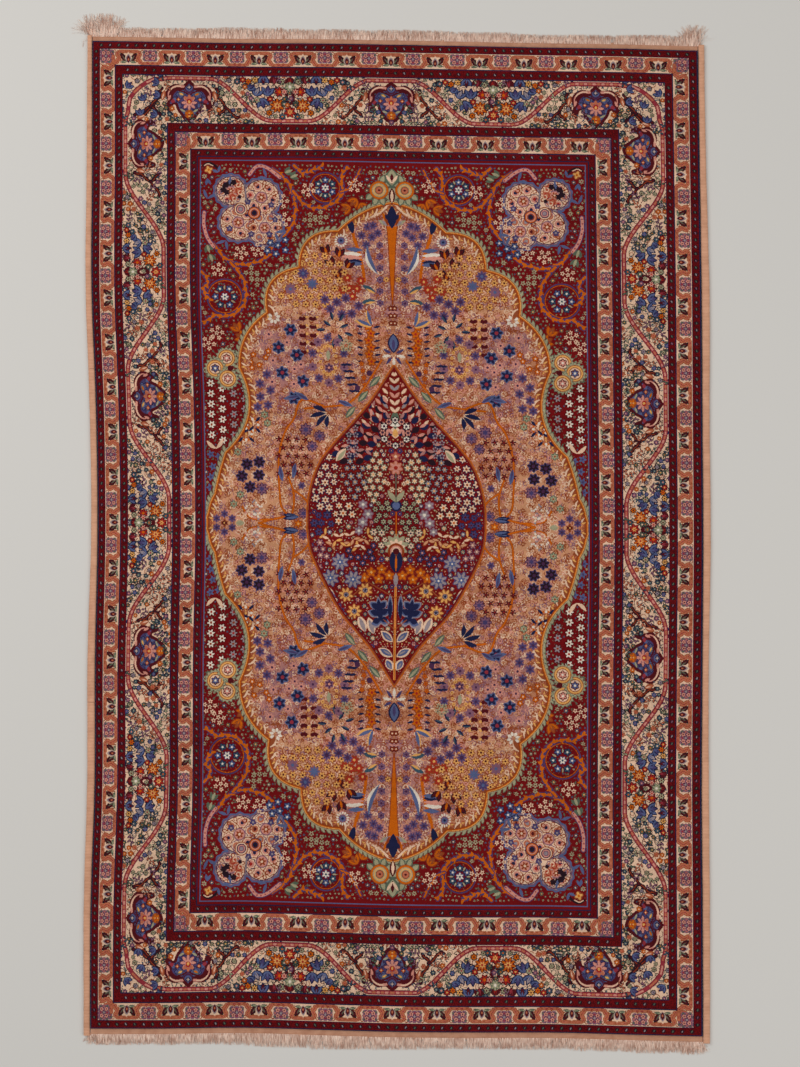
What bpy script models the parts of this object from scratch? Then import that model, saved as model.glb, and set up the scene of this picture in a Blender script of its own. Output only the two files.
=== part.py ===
"""Persian rug: a knotted pile on its woven web, two overcast side cords and two warp fringes.

X runs across the rug, Y along it, Z up from the floor. The rug lies flat, so every piece is flat
below, at Z 0. The outline is as uneven as a hand-woven rug's: the sides drift in and out, and both
ends slope a little to one side.
"""
import math

import bmesh
import bpy

# Driving dimensions, in metres.
PILE_WIDTH = 1.275
PILE_LENGTH = 2.070
PILE_TOP = 0.008  # top of the clipped pile
WEB_TOP = 0.003  # top of the flat-woven end strips
PILE_FOOT = 0.0015  # the pile's own solid starts inside the web
PILE_INSET = 0.001  # the pile stops this far inside the web's side
FAR_STRIP = 0.0125  # flat-woven strip beyond the pile at the +Y end
NEAR_STRIP = 0.0150  # the same at the -Y end
CORD_TOP = 0.0065  # crown of an overcast side cord
CORD_SIDE = 0.0015  # height of a cord's steep outer edge
FRINGE_TOP = 0.002
FRINGE_ROOT = 0.005  # uncut part of a fringe's comb, along the end strip
TUFTS = 50  # teeth of one comb
TUFT_NOTCH = 0.12  # width of the notch between tufts, as a share of their spacing
TUFT_UNEVEN = 0.0022  # how much neighbouring tufts differ in length
CORNER_TUFT = 0.026  # the last warps of each corner are this wide, and longer than the rest
GAP = 0.0003  # clearance between pieces that touch

# Stations along a side, and along an end.
SIDE_STEPS = 40
END_STEPS = 24
CORD_ARC_STEPS = 6

MM = 0.001

# Where the sides run, from the near end (0) to the far end (1), in millimetres.
#   along: share of the pile's length
#   left, right: how far the pile's edge drifts towards +X from a straight side
#   left_cord, right_cord: width of the overcast cord there
SIDE_COLUMNS = ("along", "left", "right", "left_cord", "right_cord")
SIDE_TABLE = (
    (0.000, -7.5, 3.0, 14.0, 15.3),
    (0.125, -6.0, 2.0, 15.3, 16.0),
    (0.250, 2.3, 0.0, 16.5, 15.8),
    (0.375, 3.0, 1.5, 16.5, 14.0),
    (0.500, 8.5, 3.4, 14.3, 16.4),
    (0.625, 5.5, 1.5, 14.3, 15.8),
    (0.750, -4.0, 0.0, 13.4, 17.4),
    (0.875, -2.7, -4.0, 12.4, 14.5),
    (1.000, -3.0, -7.5, 10.5, 13.6),
)

# Where the ends run, from the left side (0) to the right side (1), in millimetres.
#   across: share of the pile's width
#   far, near: how far the pile's end drifts towards +Y from a straight end
#   far_fringe, near_fringe: length of the fringe there
END_COLUMNS = ("across", "far", "near", "far_fringe", "near_fringe")
END_TABLE = (
    (0.000, 8.2, 7.0, 22.0, 22.0),
    (0.125, 6.0, 7.0, 19.0, 22.0),
    (0.250, 3.4, 9.0, 23.0, 24.0),
    (0.375, 2.7, 4.4, 20.0, 28.0),
    (0.500, 0.0, 0.0, 21.0, 25.0),
    (0.625, -3.0, -1.3, 20.0, 23.0),
    (0.750, -6.0, -1.3, 17.0, 24.0),
    (0.875, -8.2, -5.5, 19.0, 25.0),
    (1.000, -12.4, -9.6, 21.0, 27.0),
)

# Length of the long tufts at the corners, in millimetres, by end and side.
CORNER_LENGTH = {
    ("far", "left"): 50.0,
    ("far", "right"): 46.0,
    ("near", "left"): 42.0,
    ("near", "right"): 40.0,
}

RED_WOOL = (0.24, 0.035, 0.032)
TAN_WOOL = (0.33, 0.15, 0.09)
PALE_COTTON = (0.52, 0.33, 0.25)


def clear_scene():
    for found in list(bpy.data.objects):
        bpy.data.objects.remove(found, do_unlink=True)


def fabric(name, colour, roughness):
    made = bpy.data.materials.new(name)
    made.use_nodes = True
    shader = made.node_tree.nodes["Principled BSDF"]
    shader.inputs["Base Color"].default_value = (*colour, 1.0)
    shader.inputs["Roughness"].default_value = roughness
    shader.inputs["Metallic"].default_value = 0.0
    return made


def read(table, columns, name, at):
    """A column of a table, in metres, on a smooth curve through its evenly spaced rows."""
    column = columns.index(name)
    last = len(table) - 1
    place = min(max(at, 0.0), 1.0) * last
    row = min(int(place), last - 1)
    step = place - row
    before, start, end, after = (
        table[min(max(k, 0), last)][column] for k in range(row - 1, row + 3)
    )
    leave, arrive = (end - before) / 2, (after - start) / 2
    bend = 2 * step**3 - 3 * step**2
    value = (1 + bend) * start - bend * end
    value += (step**3 - 2 * step**2 + step) * leave + (step**3 - step**2) * arrive
    return value * MM


def side_x(side, along):
    straight = PILE_WIDTH / 2 * (-1 if side == "left" else 1)
    return straight + read(SIDE_TABLE, SIDE_COLUMNS, side, along)


def end_y(end, across):
    straight = PILE_LENGTH / 2 * (-1 if end == "near" else 1)
    return straight + read(END_TABLE, END_COLUMNS, end, across)


def on_rug(across, along):
    """A point of the pile's plan, from its shares of the width and the length."""
    x = side_x("left", along) * (1 - across) + side_x("right", along) * across
    y = end_y("near", across) * (1 - along) + end_y("far", across) * along
    return x, y


def strip_past(end):
    """How far the flat-woven strip reaches past the pile, towards +Y."""
    return FAR_STRIP if end == "far" else -NEAR_STRIP


def add_object(name, mesh_data, material):
    mesh = bpy.data.meshes.new(name)
    mesh_data.to_mesh(mesh)
    mesh_data.free()
    mesh.materials.append(material)
    made = bpy.data.objects.new(name, mesh)
    bpy.context.scene.collection.objects.link(made)
    return made


def slab(outline, low, high):
    """A bmesh solid: a flat outline, drawn anticlockwise, raised from low to high."""
    shape = bmesh.new()
    below = [shape.verts.new((x, y, low)) for x, y in outline]
    above = [shape.verts.new((x, y, high)) for x, y in outline]
    shape.faces.new(reversed(below))
    shape.faces.new(above)
    for k in range(len(outline)):
        after = (k + 1) % len(outline)
        shape.faces.new((below[k], below[after], above[after], above[k]))
    return shape


def pile_outline():
    """The knotted pile's plan, just inside the web's sides."""
    share = PILE_INSET / PILE_WIDTH
    shares = [share + (1 - 2 * share) * k / END_STEPS for k in range(END_STEPS + 1)]
    sides = [k / SIDE_STEPS for k in range(1, SIDE_STEPS)]
    outline = [on_rug(across, 0.0) for across in shares]
    outline += [on_rug(1 - share, along) for along in sides]
    outline += [on_rug(across, 1.0) for across in reversed(shares)]
    outline += [on_rug(share, along) for along in reversed(sides)]
    return outline


def web_end(end):
    """The end of the woven web, from left to right: a flat-woven strip past the pile."""
    along = 1.0 if end == "far" else 0.0
    points = [on_rug(k / END_STEPS, along) for k in range(END_STEPS + 1)]
    return [(x, y + strip_past(end)) for x, y in points]


def web_outline():
    sides = [k / SIDE_STEPS for k in range(SIDE_STEPS + 1)]
    right = [on_rug(1.0, along) for along in sides]
    left = [on_rug(0.0, along) for along in reversed(sides)]
    return web_end("near") + right + web_end("far")[::-1] + left


def make_rug(wool):
    """One cloth: the knotted pile stands on the web, whose ends are left flat-woven."""
    web = add_object("rug", slab(web_outline(), 0.0, WEB_TOP), wool)
    pile = add_object("pile_block", slab(pile_outline(), PILE_FOOT, PILE_TOP), wool)
    union = web.modifiers.new("pile on web", "BOOLEAN")
    union.operation = "UNION"
    union.solver = "EXACT"
    union.object = pile
    pile.hide_render = True
    pile.display_type = "WIRE"
    return web


def cord_section(inner, outer, y):
    """A cord's cross-section at one station: flat below, rounded above, drawn as a ring."""
    middle, half = (inner + outer) / 2, (outer - inner) / 2
    ring = [(outer, y, 0.0)]
    for k in range(CORD_ARC_STEPS + 1):
        turn = math.pi * k / CORD_ARC_STEPS
        rise = CORD_SIDE + (CORD_TOP - CORD_SIDE) * math.sin(turn)
        ring.append((middle + half * math.cos(turn), y, rise))
    ring.append((inner, y, 0.0))
    return ring


def make_side_cord(side, wool):
    """The overcast cord that closes one side, from one end strip's edge to the other's."""
    outward = -1 if side == "left" else 1
    across = 0.0 if side == "left" else 1.0
    stations = [(0.0, strip_past("near"))]
    stations += [(k / SIDE_STEPS, 0.0) for k in range(SIDE_STEPS + 1)]
    stations += [(1.0, strip_past("far"))]
    rings = []
    for along, past in stations:
        x, y = on_rug(across, along)
        width = read(SIDE_TABLE, SIDE_COLUMNS, side + "_cord", along)
        rings.append(cord_section(x + outward * GAP, x + outward * width, y + past))
    shape = bmesh.new()
    loops = [[shape.verts.new(point) for point in ring] for ring in rings]
    for low, high in zip(loops, loops[1:]):
        for k in range(len(low)):
            after = (k + 1) % len(low)
            shape.faces.new((low[k], low[after], high[after], high[k]))
    shape.faces.new(loops[0])
    shape.faces.new(loops[-1])
    bmesh.ops.recalc_face_normals(shape, faces=shape.faces)
    made = add_object("edge_cord_" + side, shape, wool)
    made.data.shade_smooth()
    made.data.set_sharp_from_angle(angle=math.radians(40))
    return made


def tuft_length(end, share, number, edge_distance):
    """Length of one tuft. The corner's own warps were left longer than the rest."""
    side = "left" if share < 0.5 else "right"
    if edge_distance < CORNER_TUFT:
        return CORNER_LENGTH[(end, side)] * MM
    plain = read(END_TABLE, END_COLUMNS, end + "_fringe", share)
    return plain + TUFT_UNEVEN * math.sin(2.4 * number)


def make_fringe(end, cotton):
    """One comb of warp tufts along an end, as wide as the rug with its side cords."""
    outward = 1 if end == "far" else -1
    along = 1.0 if end == "far" else 0.0
    left = on_rug(0.0, along)[0] - read(SIDE_TABLE, SIDE_COLUMNS, "left_cord", along)
    right = on_rug(1.0, along)[0] + read(SIDE_TABLE, SIDE_COLUMNS, "right_cord", along)
    width = right - left

    def root_y(share):
        return end_y(end, share) + strip_past(end) + outward * GAP

    tips = []
    spacing = width / TUFTS
    for k in range(TUFTS):
        share = (k + 0.5) / TUFTS
        from_edge = min(k + 1, TUFTS - k) * spacing
        length = tuft_length(end, share, k, from_edge)
        centre = left + share * width
        half = spacing * (1 - TUFT_NOTCH) / 2
        root, tip = (root_y(share) + outward * d for d in (FRINGE_ROOT, length))
        tips += [(centre - half, root), (centre - half * 0.9, tip)]
        tips += [(centre + half * 0.9, tip), (centre + half, root)]
    tips[0] = (left, tips[0][1])
    tips[-1] = (right, tips[-1][1])
    edge = web_end(end)
    edge = [(left, edge[0][1])] + edge + [(right, edge[-1][1])]
    roots = [(x, y + outward * GAP) for x, y in edge]
    outline = roots + tips[::-1] if end == "far" else tips + roots[::-1]
    return add_object("fringe_" + end, slab(outline, 0.0, FRINGE_TOP), cotton)


def stand_on_origin(objects):
    """Moves every piece alike, so that the whole rug's box is centred over the origin."""
    bpy.context.view_layer.update()
    corners = [v.co for o in objects for v in o.data.vertices]
    middle_x = (min(c.x for c in corners) + max(c.x for c in corners)) / 2
    middle_y = (min(c.y for c in corners) + max(c.y for c in corners)) / 2
    for found in bpy.data.objects:
        found.location = (-middle_x, -middle_y, 0.0)


def main():
    clear_scene()
    red = fabric("knotted_wool", RED_WOOL, 0.9)
    tan = fabric("overcast_wool", TAN_WOOL, 0.85)
    pale = fabric("cotton_warp", PALE_COTTON, 0.9)
    pieces = [make_rug(red)]
    pieces += [make_side_cord(side, tan) for side in ("left", "right")]
    pieces += [make_fringe(end, pale) for end in ("far", "near")]
    stand_on_origin(pieces)


main()
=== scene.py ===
"""Persian rug: its knotted wool pile, flat-woven ends, overcast side cords and cotton fringes.

The pile is knotted from a chart, as on the loom. The chart holds one yarn number for each knot and
is drawn here, in millimetres from the rug's middle, motif by motif. One quarter is drawn and folded
over to the other three; only the almond at the centre has an upright tree that is not folded
top to bottom.
"""
import math

import bpy
import numpy as np
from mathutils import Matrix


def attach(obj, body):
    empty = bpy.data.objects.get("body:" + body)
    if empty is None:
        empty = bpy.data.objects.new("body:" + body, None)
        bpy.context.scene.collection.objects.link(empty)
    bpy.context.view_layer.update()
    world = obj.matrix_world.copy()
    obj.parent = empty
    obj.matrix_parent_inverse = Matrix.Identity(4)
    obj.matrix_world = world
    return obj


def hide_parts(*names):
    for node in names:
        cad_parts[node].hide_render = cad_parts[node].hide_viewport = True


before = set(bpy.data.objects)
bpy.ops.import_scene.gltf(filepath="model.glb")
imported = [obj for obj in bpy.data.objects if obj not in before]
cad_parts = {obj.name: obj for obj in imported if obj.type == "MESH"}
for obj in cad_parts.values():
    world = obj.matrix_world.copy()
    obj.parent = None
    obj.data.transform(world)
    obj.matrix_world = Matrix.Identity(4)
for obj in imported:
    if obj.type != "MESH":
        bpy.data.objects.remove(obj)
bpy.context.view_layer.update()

MM = 0.001

# The chart. Its plan is the straight rug; the woven one drifts from it as the frame's outline does.
PILE_WIDTH = 1275.0
PILE_LENGTH = 2070.0
COLUMNS = 1160  # knots across
ROWS = 1888  # knots along
BLOCK = 4  # each face of the pile carries 4 x 4 knots

# Borders: how far each one starts from the pile's edge, in millimetres, on the sides and ends.
SIDE_BORDERS = (0.0, 18.0, 50.0, 67.5, 161.5, 180.0, 211.5, 234.0)
END_BORDERS = (0.0, 18.0, 52.0, 73.0, 176.0, 197.0, 232.5, 258.0)
FIELD_X = PILE_WIDTH / 2 - SIDE_BORDERS[-1]
FIELD_Y = PILE_LENGTH / 2 - END_BORDERS[-1]

YARNS = {  # hand-dyed wools
    "crimson": "#6e1013",
    "oxblood": "#4a0c10",
    "navy": "#1f2140",
    "cream": "#dfb99c",
    "salmon": "#b4654a",
    "rose": "#8f303a",
    "pink": "#cb8777",
    "violet": "#473c63",
    "blue": "#535c80",
    "orange": "#c05c0e",
    "rust": "#8c3b1b",
    "gold": "#d99d58",
    "tan": "#b57757",
    "lilac": "#a5706a",
    "mauve": "#7f5566",
    "plum": "#472843",
    "green": "#566150",
    "sage": "#9d9677",
    "white": "#dccdbc",
    "maroon": "#50141a",
    "black": "#291820",
    "brown": "#8e4728",
    "grey": "#918285",
    "red": "#9e271f",
    "peach": "#c78d69",
    "teal": "#3a4f5c",
}
NUMBER = {name: k for k, name in enumerate(YARNS)}
YARN_BASE = 32  # four yarn numbers go into one value, as digits in this base


class Spot:
    """A place on the chart with axes of its own: u to a motif's right, v towards its tip."""

    def __init__(self, x, y, turn=0.0, size=1.0, wide=1.0, axes=None):
        self.x, self.y = x, y
        angle = math.radians(turn)
        spin = np.array([[math.cos(angle), -math.sin(angle)], [math.sin(angle), math.cos(angle)]])
        own = spin @ np.diag([size * wide, size])
        self.axes = own if axes is None else axes @ own

    def to(self, u, v, turn=0.0, size=1.0, wide=1.0):
        """Another spot, placed and turned on this one's axes."""
        x, y = self.axes @ (u, v)
        return Spot(self.x + x, self.y + y, turn, size, wide, self.axes)

    def point(self, u, v):
        x, y = self.axes @ (u, v)
        return self.x + x, self.y + y

    def line(self, places):
        """Several (u, v) places as points of the chart."""
        return [self.point(u, v) for u, v in places]


class Chart:
    """Knots in rows and columns. A part of a chart is a chart too, and shares its knots."""

    def __init__(self, knots, x, y):
        self.knots, self.x, self.y = knots, x, y
        self.open = None  # where it may be drawn on, if not all over

    def part(self, low_x, high_x, low_y, high_y):
        columns = slice(*np.searchsorted(self.x, (low_x, high_x)))
        rows = slice(*np.searchsorted(self.y, (low_y, high_y)))
        return Chart(self.knots[rows, columns], self.x[columns], self.y[rows])

    def near(self, spot, reach):
        """The knots around a spot, and their places on its own axes."""
        far = reach * np.linalg.norm(spot.axes, 2)
        columns = slice(*np.searchsorted(self.x, (spot.x - far, spot.x + far)))
        rows = slice(*np.searchsorted(self.y, (spot.y - far, spot.y + far)))
        dx = self.x[None, columns] - spot.x
        dy = self.y[rows, None] - spot.y
        (a, b), (c, d) = np.linalg.inv(spot.axes)
        return (rows, columns), a * dx + b * dy, c * dx + d * dy

    def knot(self, where, shape, yarn):
        if self.open is not None:
            shape = shape & self.open[where]
        self.knots[where][shape] = NUMBER[yarn]

    def disc(self, spot, radius, yarn, tall=1.0):
        where, u, v = self.near(spot, radius * max(1.0, tall))
        self.knot(where, u**2 + (v / tall) ** 2 < radius**2, yarn)

    def ring(self, spot, radius, width, yarn):
        where, u, v = self.near(spot, radius + width)
        self.knot(where, np.abs(np.hypot(u, v) - radius) < width / 2, yarn)

    def star(self, spot, radius, yarn, petals=8, dent=0.4):
        """A flower's outline: petals, with dents between them."""
        where, u, v = self.near(spot, radius)
        wave = 0.5 + 0.5 * np.cos(petals * np.arctan2(u, v))
        self.knot(where, np.hypot(u, v) < radius * (1 - dent * (1 - wave)), yarn)

    def leaf(self, spot, length, width, yarn, bend=0.0):
        """A pointed leaf from the spot along v, bowed sideways by bend."""
        where, u, v = self.near(spot, length + abs(bend))
        along = np.clip(v / length, 0, 1)
        swell = np.sin(math.pi * along)
        self.knot(where, np.abs(u - bend * swell) < width / 2 * swell**0.8, yarn)

    def stroke(self, points, width, yarn, taper=False):
        """A line of yarn along chart points, thinning to its end if it tapers."""
        for k, ((ax, ay), (bx, by)) in enumerate(zip(points, points[1:])):
            half = width / 2 * (1 - 0.8 * k / len(points) if taper else 1)
            reach = math.hypot(bx - ax, by - ay) / 2 + half
            where, u, v = self.near(Spot((ax + bx) / 2, (ay + by) / 2), reach)
            du, dv = (bx - ax) / 2, (by - ay) / 2
            share = (u * du + v * dv) / max(du**2 + dv**2, 1e-9)
            share = np.clip(share, -1, 1)
            self.knot(where, np.hypot(u - share * du, v - share * dv) < half, yarn)

    def inside(self, points):
        """Which knots lie inside a closed outline."""
        found = np.zeros(self.knots.shape, bool)
        for (ax, ay), (bx, by) in zip(points, points[1:] + points[:1]):
            crosses = (self.y[:, None] < ay) != (self.y[:, None] < by)
            if ay != by:
                at = ax + (self.y[:, None] - ay) / (by - ay) * (bx - ax)
                found ^= crosses & (self.x[None, :] < at)
        return found

    def depth(self, outline, shape):
        """How far each knot is inside an outline, or outside it if the number is negative."""
        nearest = np.full(self.knots.shape, np.inf)
        for (ax, ay), (bx, by) in zip(outline, outline[1:]):
            dx, dy = self.x[None, :] - ax, self.y[:, None] - ay
            length = math.hypot(bx - ax, by - ay)
            ux, uy = (bx - ax) / length, (by - ay) / length
            share = np.clip(dx * ux + dy * uy, 0, length)
            nearest = np.minimum(nearest, np.hypot(dx - share * ux, dy - share * uy))
        return np.where(shape, nearest, -nearest)

    def bare(self, spot, reach, grounds):
        """Whether only ground yarns lie within reach of a spot."""
        where, u, v = self.near(spot, reach)
        found = self.knots[where][u**2 + v**2 < reach**2]
        if self.open is not None:
            found = found[self.open[where][u**2 + v**2 < reach**2]]
        return found.size > 0 and np.isin(found, [NUMBER[name] for name in grounds]).all()


def heading(start, end):
    """The direction from one point to the next, in degrees from the chart's x axis."""
    return math.degrees(math.atan2(end[1] - start[1], end[0] - start[0]))


def curve(points, steps=6):
    """A smooth line through a few points."""
    points = np.array([points[0], *points, points[-1]], float)
    found = []
    for p, q, r, s in zip(points, points[1:], points[2:], points[3:]):
        for k in range(steps):
            t = k / steps
            bend = 2 * q + (r - p) * t + (2 * p - 5 * q + 4 * r - s) * t**2
            found.append(tuple((bend + (3 * q - p - 3 * r + s) * t**3) / 2))
    return found + [tuple(points[-1])]


def arc(start, end, bulge, steps=10):
    """A round stretch from start to end that bows to the left by bulge of its length."""
    (ax, ay), (bx, by) = start, end
    left = (-(by - ay), bx - ax)
    shares = [k / steps for k in range(steps)]
    bow = [4 * bulge * t * (1 - t) for t in shares]
    return [
        (ax + (bx - ax) * t + left[0] * h, ay + (by - ay) * t + left[1] * h)
        for t, h in zip(shares, bow)
    ]


def mirrored(points):
    """The same line on the other side of a motif's axis."""
    return [(-x, y) for x, y in points]


# Motifs. Each is drawn at a spot, in millimetres on the spot's own axes.

ROW_SHARE = 0.87  # the row spacing of staggered flowers, as a share of their pitch


def floret(chart, spot, radius, petal, eye, edge=None, petals=6):
    """A small open flower with an eye, and a dark outline if it has an edge yarn."""
    if edge:
        chart.star(spot, radius + 1.6, edge, petals, 0.25)
    chart.star(spot, radius, petal, petals, 0.5)
    chart.disc(spot, max(radius * 0.3, 1.0), eye)


def daisy(chart, spot, radius, petal, eye, edge=None, petals=8):
    """A ring of separate round petals about an eye."""
    if edge:
        chart.disc(spot, radius + 1.0, edge)
    for k in range(petals):
        out = spot.to(0, 0, 360 * k / petals).to(0, radius * 0.68)
        chart.disc(out, radius * 0.3, petal)
    chart.disc(spot, radius * 0.3, eye)


def curl(chart, spot, radius, yarn, width=1.3):
    """A small open hook of vine."""
    turns = [math.radians(a) for a in range(-60, 211, 30)]
    points = [spot.point(radius * math.cos(a), radius * math.sin(a)) for a in turns]
    points.append(spot.point(-radius * 0.2, -radius * 1.6))
    chart.stroke(points, width, yarn)


def leaf_pair(chart, spot, length, width, yarn, spread=50, bend=0.0):
    """Two leaves from one spot, each turned outwards by spread."""
    chart.leaf(spot.to(0, 0, spread), length, width, yarn, -bend)
    chart.leaf(spot.to(0, 0, -spread), length, width, yarn, bend)


def tulip(chart, spot, size, petal, heart, edge="maroon"):
    """Three petals that open towards v, each with a darker vein."""
    cup = spot.to(0, 0, 0, size)
    for turn in (34, -34, 0):
        chart.leaf(cup.to(0, -9, turn), 20, 9.6, edge)
    for turn in (34, -34):
        chart.leaf(cup.to(0, -8, turn), 17, 6.4, petal)
        chart.leaf(cup.to(0, -6, turn), 12, 2.0, edge)
    chart.leaf(cup.to(0, -7), 15, 6, heart)
    chart.leaf(cup.to(0, -7), 9, 2.4, petal)


def bunch(chart, spot, petal, eye, count=6, pitch=12.5, radius=5.6):
    """A bunch of small five-petalled flowers round one in the middle."""
    places = [(0, 0)] + [
        (pitch * math.sin(a), pitch * math.cos(a))
        for a in np.linspace(0, 2 * math.pi, count, endpoint=False)
    ]
    for u, v in places:
        floret(chart, spot.to(u, v, 9 * u), radius, petal, eye, None, 5)


def bead(chart, spot, yarn):
    """One slanting dash of a guard stripe, in its dark surround."""
    chart.disc(spot, 4.2, "black", 0.9)
    chart.leaf(spot.to(-1.3, -2.6, -28), 5.9, 2.5, yarn)


def butterfly(chart, spot):
    """The palmette of a small border: two dark ears over a maroon seed in a grey husk."""
    for side in (1, -1):
        chart.leaf(spot.to(side * 3, -9, side * -36), 25, 11, "black")
        chart.leaf(spot.to(side * 5, -7, side * -36), 19, 6.5, "maroon")
        chart.leaf(spot.to(side * 5, -6, side * -36), 14, 2.4, "green")
        chart.leaf(spot.to(side * 3, -8, side * -94), 14, 6, "green")
        chart.leaf(spot.to(side * 3, -8, side * -94), 10, 2, "sage")
    chart.leaf(spot.to(0, -11), 24, 14, "cream")
    chart.leaf(spot.to(0, -11), 20, 11.5, "grey")
    chart.leaf(spot.to(0, -10), 16, 8.4, "maroon")
    chart.disc(spot.to(0, -3), 1.7, "salmon", 1.4)


def quatrefoil(chart, spot):
    """The rosette of a small border: a square bunch of pink blossoms about a grey eye."""
    for u in (-10, 0, 10):
        for v in (-7.5, 0, 7.5):
            chart.disc(spot.to(u, v), 6.2, "mauve")
    for side in (1, -1):
        chart.leaf(spot.to(side * 8, 5, side * -58), 9, 4.6, "green")
        chart.leaf(spot.to(side * 8, -5, side * -122), 9, 4.6, "green")
        for v in (5.5, -6):
            chart.disc(spot.to(side * 7, v), 5.2, "plum")
            chart.star(spot.to(side * 7, v, 36), 4.8, "pink", 5, 0.3)
            chart.disc(spot.to(side * 7, v), 1.5, "maroon")
        chart.disc(spot.to(side * 12.5, 0), 1.6, "salmon")
        chart.disc(spot.to(0, side * 8), 2.2, "rose")
    chart.disc(spot, 3.6, "maroon")
    chart.disc(spot, 2.6, "grey")


def palmette_heart(chart, spot):
    """The flowers and leaves that fill a palmette, round the pink blossom in its middle."""
    for side in (1, -1):
        for u, v, radius in ((17, 16, 12), (31, 4, 8), (22, -9, 9), (10, -24, 8)):
            chart.star(spot.to(side * u, v, 20 * u), radius, "navy", 6, 0.2)
            chart.star(spot.to(side * u, v, 20 * u), radius - 1.8, "blue", 6, 0.25)
            chart.ring(spot.to(side * u, v), radius * 0.55, 1.5, "plum")
        chart.leaf(spot.to(side * 11, 13, side * -62), 13, 6.5, "green")
        chart.leaf(spot.to(side * 12, 13, side * -62), 10, 4, "gold" if side < 0 else "orange")
        chart.disc(spot.to(side * 35, 0), 4.4, "rose")
        chart.stroke(spot.line([(side * 25, -7), (side * 34, -5), (side * 44, -6)]), 2, "blue")
        chart.leaf(spot.to(side * 8, -23, side * -62), 13, 4.4, "sage")
        floret(chart, spot.to(side * 23, 4), 4, "orange", "cream", "plum", 4)
    for side in (-1, 1):
        brow = curve([(side * 24, 24), (side * 10, 20), (0, 14)], 4)
        chart.stroke(spot.line(brow), 3.4, "maroon")
    chart.star(spot.to(0, -3), 18.5, "plum", 8, 0.3)
    chart.star(spot.to(0, -3), 16.5, "pink", 8, 0.4)
    for turn in (0, 45, -45):
        chart.leaf(spot.to(0, 0, turn), 15, 8, "salmon")
    for k in range(8):
        chart.disc(spot.to(0, -3, 45 * k + 22).to(0, 8.5), 1.7, "mauve")
    chart.disc(spot.to(0, 0), 5.6, "red")
    chart.disc(spot.to(0, -1), 2.4, "gold", 1.4)
    chart.disc(spot.to(0, -28), 10, "brown")
    floret(chart, spot.to(0, -28), 9, "orange", "red", None, 5)
    chart.disc(spot.to(0, -26), 1.8, "gold")
    chart.disc(spot.to(0, -32), 1.8, "gold")
    chart.disc(spot.to(0, 31), 10.5, "maroon", 1.15)
    chart.disc(spot.to(0, 31), 8.6, "violet", 1.15)
    chart.ring(spot.to(0, 31), 6.6, 2.0, "blue")
    floret(chart, spot.to(0, 31), 4.2, "grey", "cream", "navy", 4)


def palmette(chart, spot):
    """The great palmette of the main border, its head to v."""
    shell = [(0, -46), (12, -40), (18, -31), (26, -19), (30, -8), (34, -9), (37, -18), (41, -25)]
    shell += [(47, -21), (50, -11), (47, 1), (52, 16), (47, 25), (40, 33), (29, 38), (14, 36)]
    shell += [(8, 41), (0, 47)]
    body = [(0, -42), (9, -37), (15, -29), (23, -17), (27, -5), (34, -3), (44, -6), (44, -1), (39, 5)]
    body += [(38, 13), (32, 22), (23, 27), (13, 27), (9, 34), (0, 42)]
    shell, body = (line + mirrored(line)[::-1] for line in (curve(shell, 4), curve(body, 4)))
    kept, chart.open = chart.open, chart.inside(spot.line(shell))
    chart.disc(spot, 70, "maroon")
    for side in (1, -1):
        arch = curve([(12, 32), (26, 33), (37, 28), (44, 18), (44, 6)], 4)
        arch = spot.line((side * u, v) for u, v in arch)
        chart.stroke(arch, 5.4, "pink", True)
        chart.stroke(arch[2:-6], 2.4, "cream")
        chart.leaf(spot.to(side * 40, 14, side * -160), 14, 5, "pink")
    for size, yarn in ((1.0, "maroon"), (0.91, "violet")):
        chart.open = chart.inside(spot.line((size * u, size * v) for u, v in body))
        chart.disc(spot, 70, yarn)
    palmette_heart(chart, spot)
    chart.open = kept
    for side in (1, -1):
        chart.disc(spot.to(side * 22, -40), 5, "black")
        chart.disc(spot.to(side * 22, -40), 3.2, "teal")


def branch(chart, spot, side):
    """The forked, knobbly dark leaf beside a palmette."""
    stem = [(58, 26), (62, 18), (62, 8), (70, -2), (76, -12), (74, -22), (66, -28), (62, -34)]
    fork = [(75, -14), (84, -20), (92, -30), (101, -37), (108, -35)]
    for line in (stem, fork):
        points = spot.line((side * u, v) for u, v in curve(line, 4))
        chart.stroke(points, 6.4, "black")
        for k in range(1, len(points), 4):
            chart.disc(Spot(*points[k]), 4.6, "black")
        chart.stroke(points[1:-1], 3.6, "maroon")
        chart.stroke(points[3:-3:2], 1.4, "rust")
    chart.leaf(spot.to(side * 58, -2, side * 14), 24, 10, "brown")
    chart.leaf(spot.to(side * 58, -1, side * 14), 20, 6, "salmon")
    chart.leaf(spot.to(side * 58, 0, side * 14), 14, 2, "cream")


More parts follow.
